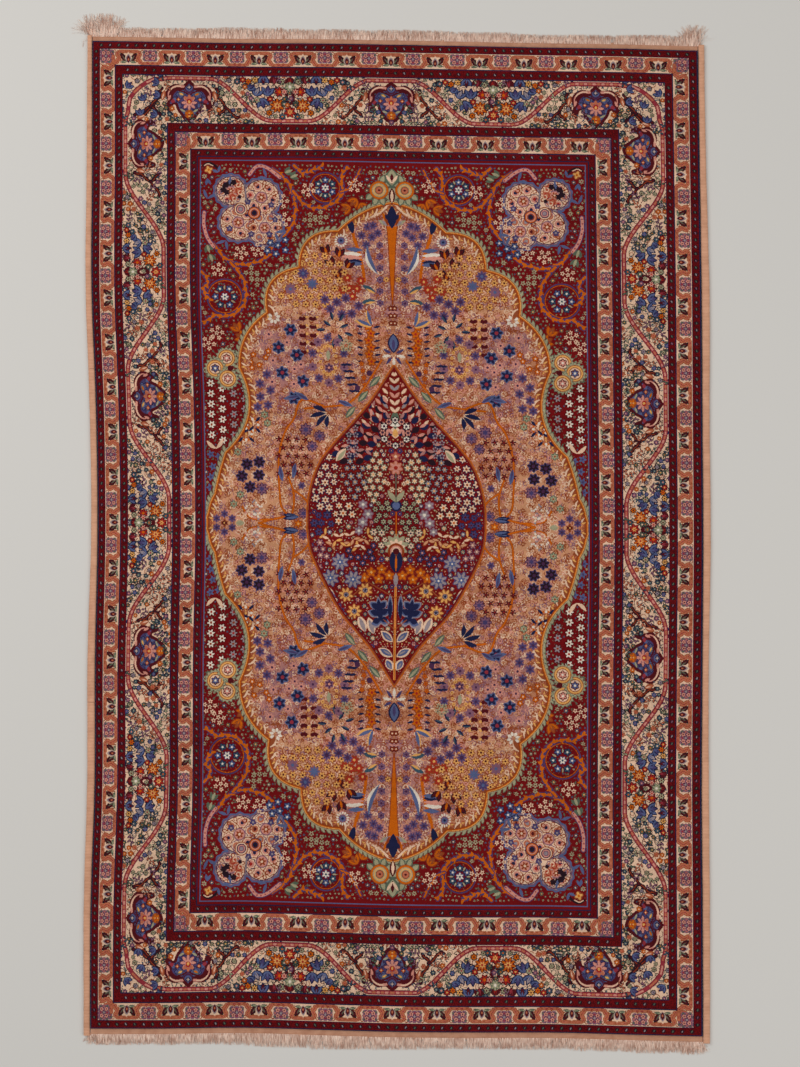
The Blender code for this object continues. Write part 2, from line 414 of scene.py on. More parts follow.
def bouquet(chart, spot):
    """The group of flowers between two palmettes, its stems at the outer edge (v)."""
    for side in (1, -1):
        for line in (
            [(0, 44), (16, 34), (30, 24), (44, 20), (60, 14), (72, 0)],
            [(16, 34), (40, 36), (64, 36), (86, 40), (108, 38)],
            [(10, 6), (22, -4), (40, -12), (58, -18)],
            [(8, -6), (14, -20), (18, -34)],
        ):
            chart.stroke(spot.line((side * u, v) for u, v in curve(line, 4)), 1.8, "black")
    tulip(chart, spot.to(0, 40, 180), 0.95, "maroon", "red")
    floret(chart, spot.to(0, 27), 10, "sage", "white", "green", 7)
    chart.disc(spot.to(0, 2), 11, "maroon", 1.4)
    chart.disc(spot.to(0, 3), 4, "cream", 1.9)
    floret(chart, spot.to(0, -28), 12, "red", "maroon", "maroon", 7)
    floret(chart, spot.to(0, -28), 6, "gold", "red", None, 6)
    for side in (1, -1):
        floret(chart, spot.to(side * 22, 16), 10, "red", "orange", "maroon", 7)
        floret(chart, spot.to(side * 27, -14), 15, "orange", "maroon", "maroon", 9)
        floret(chart, spot.to(side * 27, -14), 8, "gold", "red", "red", 7)
        tulip(chart, spot.to(side * 47, 17, side * 6), 1.25, "blue", "violet", "navy")
        tulip(chart, spot.to(side * 70, 16, side * 30), 1.15, "blue", "grey", "navy")
        tulip(chart, spot.to(side * 58, -8, side * 165), 1.25, "blue", "violet", "navy")
        tulip(chart, spot.to(side * 84, 26, side * 60), 0.9, "blue", "violet", "navy")
        tulip(chart, spot.to(side * 33, 42, 180), 1.0, "maroon", "rose")
        tulip(chart, spot.to(side * 56, 42, 180), 1.1, "blue", "maroon", "navy")
        for u, v, petal, eye in (
            (12, 16, "pink", "red"), (12, -10, "green", "cream"), (18, 38, "sage", "maroon"),
            (44, -30, "orange", "maroon"), (88, 38, "orange", "red"), (100, 42, "red", "gold"),
            (74, 42, "gold", "maroon"), (112, 38, "teal", "pink"), (70, -2, "sage", "rose"),
            (42, 0, "red", "gold"), (16, -38, "teal", "orange"), (96, 28, "teal", "cream"),
        ):
            floret(chart, spot.to(side * u, v), 6.6, petal, eye, "black", 6)


def meadow(chart, low, high, pitch, radius, kinds, grounds, seed, leaves=None):
    """Small flowers strewn over whatever ground is still bare between two corners."""
    rng = np.random.default_rng(seed)
    astray = 0.17 * pitch
    for row in range(int((high[1] - low[1]) / (pitch * ROW_SHARE))):
        for column in range(int((high[0] - low[0]) / pitch) + 1):
            x = low[0] + (column + 0.5 * (row % 2)) * pitch + rng.uniform(-1, 1) * astray
            y = low[1] + row * pitch * ROW_SHARE + rng.uniform(-1, 1) * astray
            kind = kinds[rng.integers(len(kinds))]
            spot = Spot(x, y, rng.uniform(0, 360), rng.uniform(0.85, 1.1))
            if chart.bare(spot, radius + 1, grounds):
                floret(chart, spot, radius, *kind)
            elif leaves and chart.bare(spot, radius * 0.62, grounds):
                chart.leaf(spot.to(0, -radius * 0.6), radius * 1.3, radius * 0.55, leaves)


def tendrils(chart, low, high, count, sizes, width, tones, seed):
    """Thin curled stems strewn over a ground, before its flowers are drawn."""
    rng = np.random.default_rng(seed)
    for _ in range(count):
        x, y = rng.uniform(low[0], high[0]), rng.uniform(low[1], high[1])
        column, row = np.searchsorted(chart.x, x), np.searchsorted(chart.y, y)
        if column < len(chart.x) and row < len(chart.y) and chart.open[row, column]:
            spot = Spot(x, y, rng.uniform(0, 360))
            curl(chart, spot, rng.uniform(*sizes), tones[rng.integers(len(tones))], width)


def sprigs(chart, low, high, pitch, tones, grounds, seed):
    """Short leafy twigs, each a bent stem with leaves on both sides, where the ground is bare."""
    rng = np.random.default_rng(seed)
    for y in np.arange(low[1], high[1], pitch):
        for x in np.arange(low[0], high[0], pitch):
            spot = Spot(x + rng.uniform(-5, 5), y + rng.uniform(-5, 5), rng.uniform(0, 360))
            tone, bend = tones[rng.integers(len(tones))], rng.uniform(-5, 5)
            if not chart.bare(spot, 6, grounds):
                continue
            chart.stroke([spot.point(0, -10), spot.point(bend, 0), spot.point(0, 10)], 1.7, "black")
            for u, v, turn in ((0, -6, 60), (bend / 2, -3, -60), (bend, 2, 55), (bend / 2, 5, -55),
                               (0, 8, 0)):
                chart.leaf(spot.to(u, v, turn), 9.0, 4.8, "black")
                chart.leaf(spot.to(u, v, turn), 7.6, 2.6, tone)


# Borders.


def band_between(chart, number):
    """Which knots lie between two border lines all round, and how deep they are in that band."""
    side = SIDE_BORDERS[number], SIDE_BORDERS[number + 1]
    end = END_BORDERS[number], END_BORDERS[number + 1]
    from_side = PILE_WIDTH / 2 - np.abs(chart.x)[None, :]
    from_end = PILE_LENGTH / 2 - np.abs(chart.y)[:, None]
    outside = (from_side < side[1]) | (from_end < end[1])
    found = (from_side >= side[0]) & (from_end >= end[0]) & outside
    to_side = (from_side - side[0]) / (side[1] - side[0])
    to_end = (from_end - end[0]) / (end[1] - end[0])
    return found, np.minimum(to_side, to_end), side, end


def guard_stripe(chart, number, thin_line=False):
    """A dark stripe between navy lines, with slanting dashes, all round the rug."""
    end_pitch, side_pitch = 19, 15
    band, depth, side, end = band_between(chart, number)
    inner = 0.68 if thin_line else 1.0  # the share of the band that the dashes keep to
    chart.knots[band] = NUMBER["crimson"]
    chart.knots[band & (depth < inner)] = NUMBER["oxblood"]
    mottled = np.random.default_rng(number).random(chart.knots.shape) < 0.45
    chart.knots[band & mottled & (depth < inner)] = NUMBER["crimson"]
    chart.knots[band & (depth < 0.1)] = NUMBER["navy"]
    chart.knots[band & (np.abs(depth - inner + 0.04) < 0.05)] = NUMBER["navy"]
    if thin_line:
        chart.knots[band & (depth > 0.91)] = NUMBER["blue"]
    across = PILE_LENGTH / 2 - end[0] - (end[1] - end[0]) * inner / 2
    down = PILE_WIDTH / 2 - side[0] - (side[1] - side[0]) * inner / 2
    for k in range(int(down / end_pitch)):
        bead(chart, Spot(-9 - end_pitch * k, across), "grey" if k % 2 else "green")
    for k in range(int(across / side_pitch)):
        tone = ("grey", "green", "mauve", "green")[k % 4]
        bead(chart, Spot(-down, 7 + side_pitch * k, 10), tone)


def small_border(chart, number):
    """A cream band with a salmon ribbon that brackets rosettes and palmettes in turn."""
    band, _, side, end = band_between(chart, number)
    chart.knots[band] = NUMBER["cream"]
    chart.open = band
    step = 46.5  # from a rosette to the next palmette, before the pitch is fitted to the side
    # From over a palmette, down a scalloped side, to under a rosette; v is a share of the half-width.
    ribbon = [(0, 0.74), (15, 0.74), (22, 0.66), (24, 0.36), (21, 0.06), (20.5, -0.2), (24, -0.46)]
    ribbon += [(26, -0.68), (32, -0.78), (step, -0.78)]
    for ends in (True, False):
        low, high = end if ends else side
        half = (high - low) / 2
        middle = (PILE_LENGTH if ends else PILE_WIDTH) / 2 - (low + high) / 2
        length = (PILE_WIDTH / 2 - side[0]) if ends else (PILE_LENGTH / 2 - end[0])
        to_corner = length - 15
        count = int(to_corner / step)
        pitch = to_corner / count
        places = [
            Spot(-k * pitch, middle, 0) if ends else Spot(-middle, k * pitch, 90)
            for k in range(count + 1)
        ]
        for place in places[::2]:
            for turn in (1, -1):
                stretch = turn * pitch / step
                line = place.line((u * stretch, v * half) for u, v in curve(ribbon, 4))
                chart.stroke(line, 7.6, "brown")
                chart.stroke(line[12:28], 10.2, "brown")
                chart.stroke(line, 5.4, "salmon")
                chart.stroke(line[12:28], 7.8, "salmon")
                for k in range(1, len(line) - 1, 3):
                    chart.stroke(line[k : k + 2], 1.8, "brown" if k % 2 else "rose")
        for k, place in enumerate(places):
            tall = half / 17
            if k % 2:
                for u, v in ((-17, 13), (17, 13), (-6, -7), (6, -7)):
                    curl(chart, place.to(u, v * tall, 2 * u), 2.6, "rust", 1.6)
                quatrefoil(chart, place.to(0, 3.8 * tall, 0, tall * 0.94, 1.04 / tall))
            else:
                for u, v in ((-15, -9), (15, -9), (-13, 6), (13, 6)):
                    curl(chart, place.to(u, v * tall, 2 * u), 2.6, "brown", 1.6)
                butterfly(chart, place.to(0, -2.0 * tall, 0, tall, 1 / tall))
    chart.open = None


def swing(away, half):
    """How far out the vine runs: 1 over a palmette, 0 inside a bouquet one half-step away."""
    share = abs((away / half + 1) % 2 - 1)
    t = min(max((share - 0.2) / 0.62, 0), 1)
    return 1 - t * t * (3 - 2 * t)


def vine_line(ends, sides, half_x, half_y):
    """The main vine's centre line over one quarter, from the end's middle round the corner."""
    (out_x, in_x), (out_y, in_y) = half_x, half_y
    across = np.arange(0, 2 * ends + 60, 9)
    points = [(-x, in_y + (out_y - in_y) * swing(x, ends)) for x in across if x < out_x - 78]
    points += [(62 - out_x, out_y - 3), (32 - out_x, out_y - 20), (10 - out_x, out_y - 46)]
    down = np.arange(out_y - 74, -1, -9)
    points += [(-in_x - (out_x - in_x) * swing(y - sides, sides), y) for y in down]
    return points


def main_border(chart):
    """The wide cream border: palmettes and bouquets in the swings of a rose vine."""
    band, _, side, end = band_between(chart, 3)
    chart.knots[band] = NUMBER["cream"]
    out_y, in_y = PILE_LENGTH / 2 - end[0] - 6, PILE_LENGTH / 2 - end[1] + 6
    out_x, in_x = PILE_WIDTH / 2 - side[0] - 5, PILE_WIDTH / 2 - side[1] + 6
    ends, sides = 214.0, 267.0  # half a swing of the vine, along the ends and the sides
    mid_y, mid_x = (out_y + in_y) / 2, (out_x + in_x) / 2
    chart.open = band
    tendrils(chart, (-PILE_WIDTH / 2, 0), (0, PILE_LENGTH / 2), 4600, (3.8, 7.6), 1.3,
             ("teal", "green", "maroon", "black", "brown"), 3)
    line = curve(vine_line(ends, sides, (out_x, in_x), (out_y, in_y)), 2)
    chart.stroke(line, 11.0, "cream")
    chart.stroke(line, 9.8, "maroon")
    chart.stroke(line, 7.8, "rose")
    for k in range(0, len(line) - 2, 2):
        chart.stroke(line[k : k + 2], 3.6, "pink" if k % 4 else "salmon")
    head = [Spot(0, mid_y), Spot(-2 * ends, mid_y - 2)]
    flank = [Spot(-mid_x, sides, 90, 0.86, 1.24), Spot(-mid_x, sides * 3.04, 90, 0.86, 1.24)]
    for spot in head + flank:
        chart.disc(spot.to(0, 0), 40, "cream")
        palmette(chart, spot.to(0, -3))
        for turn in (1, -1):
            branch(chart, spot, turn)
    for spot in (Spot(-ends, mid_y + 2), Spot(-mid_x, 0, 90, 0.9), Spot(-mid_x, 2 * sides, 90, 0.9)):
        bouquet(chart, spot)
    for u, v in ((0, 0), (30, 6), (-6, -32), (28, 34), (-30, 26), (24, -36)):
        tulip(chart, Spot(-mid_x - 4 + u, mid_y + 2 + v, u * 2 + 20), 0.9, "blue", "violet", "navy")
    strewn = (
        ("mauve", "pink", "plum"), ("green", "orange", "black"), ("blue", "mauve", "navy"),
        ("sage", "maroon", "black"), ("salmon", "red", "brown"), ("teal", "sage", "black"),
        ("grey", "plum", "black"), ("green", "gold", "black"), ("orange", "cream", "brown"),
    )
    corner = (-PILE_WIDTH / 2, 0), (0, PILE_LENGTH / 2)
    bare = ("cream", "teal", "green", "maroon", "black", "brown")
    sprigs(chart, *corner, 21.0, ("green", "sage", "teal", "salmon", "green", "mauve"), bare, 5)
    meadow(chart, *corner, 14.0, 4.6, strewn, bare, 4, "teal")
    chart.open = None


# The field.


def corner_rosette(chart):
    """The cloud-shaped rosette in each corner of the field."""
    middle = Spot(-302, 668)
    lobes = ((-38, 44, 31), (27, 30, 38), (-22, -25, 38), (34, -36, 37), (2, 4, 30))
    layers = ((8.5, "blue"), (4.6, "mauve"), (2.6, "grey"), (0.4, "plum"), (-1.4, "cream"))
    for grow, yarn in layers:
        for u, v, radius in lobes:
            chart.star(middle.to(u, v), radius + grow, yarn, 14, 0.07 if grow > 1 else 0)
    wheels = np.random.default_rng(7)
    for u, v, radius in lobes[:4]:
        heart = middle.to(u, v, wheels.uniform(0, 60))
        for k in range(6):
            wheel = heart.to(0, 0, 60 * k).to(0, radius * 0.64, wheels.uniform(0, 90))
            rim, spokes, hub = (
                ("brown", "salmon", "maroon"), ("plum", "pink", "red"),
                ("rust", "pink", "navy"), ("mauve", "salmon", "grey"),
            )[wheels.integers(4)]
            chart.star(wheel, radius * 0.33, rim, 7, 0.15)
            chart.star(wheel, radius * 0.28, "cream", 7, 0.15)
            chart.disc(wheel, radius * 0.2, spokes)
            chart.disc(wheel, radius * 0.1, hub)
            curl(chart, wheel.to(0, radius * 0.16, 60), 3.6, rim, 1.9)
            curl(chart, heart.to(0, 0, 60 * k + 30).to(0, radius * 0.86), 3.4, "rust", 1.8)
        chart.disc(heart, radius * 0.34, "mauve")
        chart.disc(heart, radius * 0.28, "pink")
        floret(chart, heart, radius * 0.24, "rust", "cream", None, 6)
    for spot in (middle.to(-34, 30), middle.to(-22, 44), middle.to(-26, 60)):
        chart.star(spot, 10, "salmon", 6, 0.3)
        curl(chart, spot, 5, "red", 2)
        curl(chart, spot.to(4, -4, 150), 4, "cream", 1.8)
    for u, v in ((-50, 55), (-42, 60), (-54, 46), (-32, 62), (-47, 41)):
        chart.star(middle.to(u, v, 11 * v), 7, "black", 5, 0.25)
    chart.disc(middle.to(-19, 31), 4, "black")
    for u, v in ((20, -4), (-2, 20), (44, -50), (6, -50), (56, -18), (-40, -38), (48, 14)):
        chart.star(middle.to(u, v), 7.5, "violet", 5, 0.3)
        chart.disc(middle.to(u, v), 2.2, "grey")
    for width, yarn in ((3.6, "plum"), (1.8, "grey")):
        chart.stroke(middle.line([(-8, 58), (-6, 34), (-4, 20)]), width, yarn)
    for spot, rings in (
        (middle.to(-17, 4), ("brown", "cream", "plum", "pink", "mauve", "grey")),
        (middle.to(12, -4), ("plum", "orange", "pink", "rust", "navy", "black")),
    ):
        for k, yarn in enumerate(rings):
            chart.disc(spot, 14.5 - 2.2 * k, yarn)


def scroll(chart, points, width, hooks):
    """An arabesque stem with flame-like hooks, and a thin second line beside it."""
    line = curve(points, 5)
    chart.stroke(line, width + 4.2, "violet")
    chart.stroke(line, width + 1.2, "crimson")
    chart.stroke(line, width, "orange")
    for k in range(2, len(line) - 1, 2):
        place, turn = line[k], heading(line[k], line[k + 1]) - 90
        side = 1 if k % 4 else -1
        chart.leaf(Spot(*place, turn + side * 38), hooks, hooks * 0.42, "orange", side * 2)
        chart.leaf(Spot(*place, turn - side * 46), hooks * 0.7, hooks * 0.3, "violet")


def field_scrolls(chart):
    """Two ringed rosettes, the orange arabesques that wind round them, and pink stems."""
    for (x, y), radius, turn in (((-140, 720), 33, 0), ((-353, 482), 38, 90)):
        spot = Spot(x, y, turn)
        chart.ring(spot, radius, 2.6, "violet")
        chart.ring(spot, radius - 3.4, 1.3, "orange")
        for k in range(6):
            petal = spot.to(0, 0, 60 * k).to(0, radius * 0.52)
            floret(chart, petal, 7.0, ("blue", "teal")[k % 2], "white", "navy", 5)
            chart.leaf(spot.to(0, 0, 60 * k + 30).to(0, radius * 0.4), 10, 3.4, "sage")
        floret(chart, spot, 8, "white", "teal", "violet", 6)
    for stem, width, hooks in (
        (((-252, 760), (-222, 736), (-208, 705), (-203, 672), (-211, 636), (-238, 606)), 5.4, 12.5),
        (((-208, 712), (-186, 686), (-160, 676), (-128, 684), (-104, 708), (-106, 744),
          (-94, 766)), 5.4, 12.5),
        (((-206, 768), (-188, 752), (-168, 758), (-148, 766)), 5.4, 13),
        (((-376, 596), (-352, 566), (-322, 552), (-290, 556), (-262, 570), (-250, 598)), 5.4, 12.5),
        (((-340, 556), (-316, 526), (-308, 494), (-314, 464), (-343, 441), (-376, 441),
          (-398, 424)), 5.4, 12.5),
        (((-402, 536), (-388, 516), (-398, 496), (-386, 476)), 5.4, 13),
        (((-108, 712), (-88, 722), (-66, 762)), 3.4, 9),
    ):
        scroll(chart, stem, width, hooks)
    for pink in (((-300, 748), (-284, 766), (-262, 762), (-236, 742)),
                 ((-396, 664), (-397, 640), (-390, 612), (-376, 590))):
        line = curve(pink, 5)
        chart.stroke(line, 9.5, "violet")
        chart.stroke(line, 6.4, "pink")
        for k in range(1, len(line), 2):
            chart.disc(Spot(*line[k]), 1.6, "rose")


def field_corner(chart):
    """The crimson ground: scrolls, the cloud rosette, then bunches of flowers and leaves."""
    field_scrolls(chart)
    corner_rosette(chart)
    for x, y, turn, size in ((-264, 742, 60, 0.9), (-390, 694, -20, 0.9), (-340, 744, 130, 0.8),
                             (-246, 622, 240, 0.9), (-350, 604, 150, 0.9)):
        leaf_pair(chart, Spot(x, y, turn, size), 24, 7, "blue", 40)
    for x, y in ((-78, 726), (-232, 690), (-228, 650), (-318, 578), (-282, 584), (-366, 540),
                 (-372, 404), (-390, 382), (-176, 716)):
        bunch(chart, Spot(x, y, x), "cream", "crimson", 5, 11.5, 5.2)
    for x, y, turn in ((-80, 690, 140), (-62, 680, 200), (-330, 416, 30), (-322, 396, 60),
                       (-96, 676, 110)):
        tulip(chart, Spot(x, y, turn), 1.15, "orange", "brown", "rust")
    for x, y, turn in ((-226, 752, -70), (-214, 742, -70), (-384, 574, 200), (-390, 594, 200)):
        leaf_pair(chart, Spot(x, y, turn), 18, 8, "green", 28)
        chart.leaf(Spot(x, y, turn), 18, 6, "sage")
    for x, y in ((-172, 650), (-284, 520), (-150, 656), (-296, 534)):
        bunch(chart, Spot(x, y), "sage", "crimson", 4, 11.5, 5.6)
    for x, y in ((-240, 594), (-224, 584), (-256, 600), (-224, 606), (-244, 576), (-262, 582)):
        floret(chart, Spot(x, y, x), 7.4, "blue", "white", "navy", 5)
    chart.stroke(curve([(-398, 766), (-388, 772), (-376, 768), (-366, 758)], 4), 5, "black")
    chart.stroke(curve([(-396, 766), (-388, 770), (-378, 766)], 4), 2, "cream")
    floret(chart, Spot(-387, 757, 20), 8.5, "gold", "orange", "brown", 4)
    leaf_pair(chart, Spot(-366, 752, 30), 15, 6, "blue", 40)
    leaf_pair(chart, Spot(-390, 738, 190), 15, 6, "blue", 20)
    for row in range(6):
        for column, tone in enumerate(("white", "white", "grey", "grey")):
            spot = Spot(-389 + 24 * column, 296 - 22 * row - 11 * (column % 2), 22)
            if chart.bare(spot, 7, ("crimson",)):
                floret(chart, spot, 8.4, tone, "red" if row % 2 else "rust", "oxblood", 6)
    for x, y in ((-392, 145), (-375, 140), (-388, 119), (-392, 97), (-380, 105), (-394, 75)):
        floret(chart, Spot(x, y, 20), 8.5, "blue", "violet", None, 5)
    leaf_pair(chart, Spot(-380, 157, 8), 26, 8, "cream", 42, 2)
    corner, ground = ((-FIELD_X, 0), (0, FIELD_Y)), ("crimson",)
    small = (("sage", "crimson"), ("green", "cream"), ("green", "gold"), ("teal", "cream"),
             ("sage", "rose"))
    meadow(chart, *corner, 15.5, 5.4, small, ground, 11, "green")
    dots = (("sage", "green"), ("green", "sage"), ("teal", "blue"))
    meadow(chart, *corner, 9.0, 2.6, dots, ground, 12, "green")


# The medallion.

MEDALLION = (  # its corners, from the far tip to the side tip, and how far each lobe bows out
    ((0, 693), 0.08), ((-114, 629), 0.25), ((-198, 549), 0.24), ((-267, 450), 0.13),
    ((-329, 329), -0.19), ((-362, 150), 0.02), ((-386, 62), 0.06), ((-400, 24), 0.1), ((-403, 0), 0.0),
)
MEDALLION_BOX = (-404, 0), (0, 699)
# The almond's left side, down to its shoulder and on to its near tip.
ALMOND_UPPER = ((0, 337), (-43, 271), (-77, 228), (-130, 168), (-164, 120), (-184, 50))
ALMOND_LOWER = ((-184, -32), (-166, -88), (-119, -174), (-77, -223), (-44, -262), (0, -330))


def medallion_edge():
    """Its outline over one quarter, in short steps: one for each leaf and hook along it."""
    step = 11
    found = []
    for (start, bulge), (end, _) in zip(MEDALLION, MEDALLION[1:]):
        found += arc(start, end, -bulge, max(1, round(math.dist(start, end) / step)))
    return found + [MEDALLION[-1][0]]


def trefoil(chart):
    """Three gold rings where the medallion's waist is tied."""
    for x, y, heart in ((-353, 350, "pink"), (-378, 328, "blue"), (-352, 306, "pink")):
        spot = Spot(x, y)
        chart.star(spot, 25, "green", 16, 0.18)
        chart.star(spot, 23, "sage", 16, 0.16)
        chart.disc(spot, 18, "rust")
        chart.disc(spot, 16.5, "gold")
        chart.disc(spot, 13, "brown")
        chart.disc(spot, 11.4, "cream")
        floret(chart, spot, 8, heart, "white", "maroon", 6)
    chart.disc(Spot(-346, 328), 6, "maroon")


def finial(chart):
    """Two volutes and a small palmette at the medallion's tip."""
    for side in (1, -1):
        spot = Spot(side * 27, 717)
        for k in range(7):
            petal = spot.to(0, 0, side * (18 + 36 * k)).to(0, 15)
            chart.leaf(petal, 20, 15, "green")
            chart.leaf(petal, 18, 9, "sage")
        chart.disc(spot, 20.5, "brown")
        chart.disc(spot, 19, "orange")
        chart.disc(spot, 15, "sage")
        chart.ring(spot, 11.5, 2.6, "gold")
        chart.disc(spot, 8.6, "brown")
        chart.disc(spot, 6.6, "salmon")
        chart.disc(spot, 2.6, "maroon")
    chart.leaf(Spot(0, 724), 40, 30, "green")
    chart.leaf(Spot(0, 728), 34, 20, "sage")
    chart.leaf(Spot(0, 730), 24, 8, "maroon")
    leaf_pair(chart, Spot(0, 732), 22, 6, "cream", 34)
    chart.leaf(Spot(0, 688), 34, 14, "maroon")
    chart.leaf(Spot(0, 690), 28, 6, "cream")


def medallion(chart):
    """Its scalloped shape: saw-edged sage leaves outside, gold and rust lines, a band of hooks."""
    edge = medallion_edge()
    depth = chart.depth(edge, chart.inside(edge + [(0, 0)]))
    spots = [Spot(*start, heading(start, end)) for start, end in zip(edge, edge[1:])]
    for spot in spots:
        chart.leaf(spot.to(0, 0, 120), 15.5, 7.6, "green")
        chart.leaf(spot.to(0, 0, 120), 14.0, 5.2, "sage")
    lines = ((-2.4, "sage"), (-0.6, "brown"), (0.8, "gold"), (2.2, "orange"), (4.2, "rust"))
    within, hooks = 6.4, 17  # how deep its ground starts, and how deep the band of hooks ends
    for grow, yarn in (*lines, (within, "brown"), (hooks, "tan")):
        chart.knots[depth > grow] = NUMBER[yarn]
    chart.open = depth > within
    for k, spot in enumerate(spots):
        longer = 7 * (k % 2)
        chart.leaf(spot.to(0, 4, -56), 20 + longer, 7.8, "brown", -5)
        chart.leaf(spot.to(0, 4, -56), 18 + longer, 4.4, ("gold", "cream")[k % 2], -5)
        curl(chart, spot.to(9, 21 if k % 2 else 15, 30), 3.8, ("salmon", "cream")[k % 2], 2.0)
    return depth


def medallion_ground(chart, depth):
    """Lilac by the column and tan elsewhere, covered with small brown and cream curls."""
    x, y = chart.x[None, :], chart.y[:, None]
    sway = 22 * np.sin(y / 31) + 16 * np.sin(x / 23 + y / 57)
    lilac = (x > -112 - sway) & (y > 408 + sway)
    lilac |= (np.abs(x + 238 + sway / 2) < 46) & (np.abs(y - 345) < 82 + sway)
    peach = (np.hypot((x + 170) / 1.15, y - 505) < 78 + sway) | (x < -250 + sway) & (y < 250)
    inner = depth > 22  # past the band of hooks
    for patch, yarn in ((lilac, "lilac"), (peach, "peach")):
        chart.knots[patch & inner & (chart.knots == NUMBER["tan"])] = NUMBER[yarn]
    chart.open = inner
    tones = ("brown", "cream", "rust", "peach", "brown", "mauve", "pink")
    tendrils(chart, *MEDALLION_BOX, 8200, (2.4, 4.4), 1.5, tones, 21)
    chart.open = depth > 6


def column_and_birds(chart):
    """The orange column on the rug's middle line, with purple flowers and a bird beside it."""
    shaft = [(0, 462), (-3, 500), (-6, 555), (-8, 600), (-11, 636), (-15, 652)]
    kept, chart.open = chart.open, chart.inside([(0, 462)] + shaft + [(0, 660)]) & chart.open
    chart.disc(Spot(0, 560), 110, "orange")
    chart.open = kept
    chart.stroke(shaft, 1.7, "rust")
    for x, turn, length, yarn in (
        (-6, 62, 26, "sage"), (-4, 60, 20, "grey"), (-6, 26, 34, "orange"), (-9, 8, 30, "rust"),
    ):
        chart.leaf(Spot(x, 640, turn), length, 8, yarn)
    chart.stroke([(-44, 658), (-24, 668), (-10, 684), (0, 690)], 3.4, "cream")
    chart.stroke([(-50, 650), (-26, 660), (-12, 676), (0, 682)], 2.4, "brown")
    chart.leaf(Spot(0, 634), 50, 20, "navy")
    chart.leaf(Spot(-4, 652, 40), 16, 8, "navy")
    for k in range(6):
        floret(chart, Spot(-26, 598 - 25 * k), 6.3, "mauve", "plum", "violet", 6)
        chart.disc(Spot(-26, 598 - 25 * k), 2.6, "plum")
    for x, y in ((-51, 637), (-64, 618), (-42, 615), (-30, 624), (-54, 598), (-40, 640)):
        floret(chart, Spot(x, y), 8.5, "violet", "plum", "mauve", 7)
    rays, aster = 14, Spot(-107, 606)
    for k in range(rays):
        chart.leaf(aster.to(0, 0, 360 * k / rays).to(0, 8), 6.5, 3.4, "white")
    chart.disc(aster, 8.5, "mauve")
    chart.star(aster, 7.4, "blue", 7, 0.4)
    chart.disc(aster, 2.6, "navy")
    chart.stroke(curve(((-84, 640), (-80, 614), (-70, 584), (-62, 550), (-58, 520)), 5), 6.5, "orange")
    chart.leaf(Spot(-82, 622, 14), 34, 14, "navy")
    chart.leaf(Spot(-86, 646, 78), 20, 8, "navy")
    chart.leaf(Spot(-52, 596, 200), 66, 13, "white", 8)
    chart.leaf(Spot(-54, 600, 200), 70, 8, "blue", 4)
    for y, length, yarn in (
        (586, 34, "blue"), (576, 42, "white"), (569, 44, "pink"), (561, 30, "navy"), (556, 30, "blue"),
    ):
        chart.leaf(Spot(-62, y, 86), length, 9, yarn)
    for x, y, turn in ((-136, 586, 20), (-112, 580, -10), (-124, 560, 30), (-112, 534, 10),
                       (-96, 556, -30)):
        leaf_pair(chart, Spot(x, y - 10, turn), 23, 11, "black", 24)
        leaf_pair(chart, Spot(x, y - 10, turn), 19, 7, "maroon", 24)
        chart.leaf(Spot(x, y - 11, turn), 17, 5, "orange")
    for x, y in ((-94, 526), (-90, 504), (-74, 503), (-84, 486), (-104, 500), (-66, 520)):
        floret(chart, Spot(x, y), 9, "red", "gold", "rust", 7)
    for y, turn in ((496, 62), (478, 100)):
        chart.leaf(Spot(-36, y, turn), 30, 11, "teal")
        chart.leaf(Spot(-36, y - 3, turn), 22, 5, "gold")


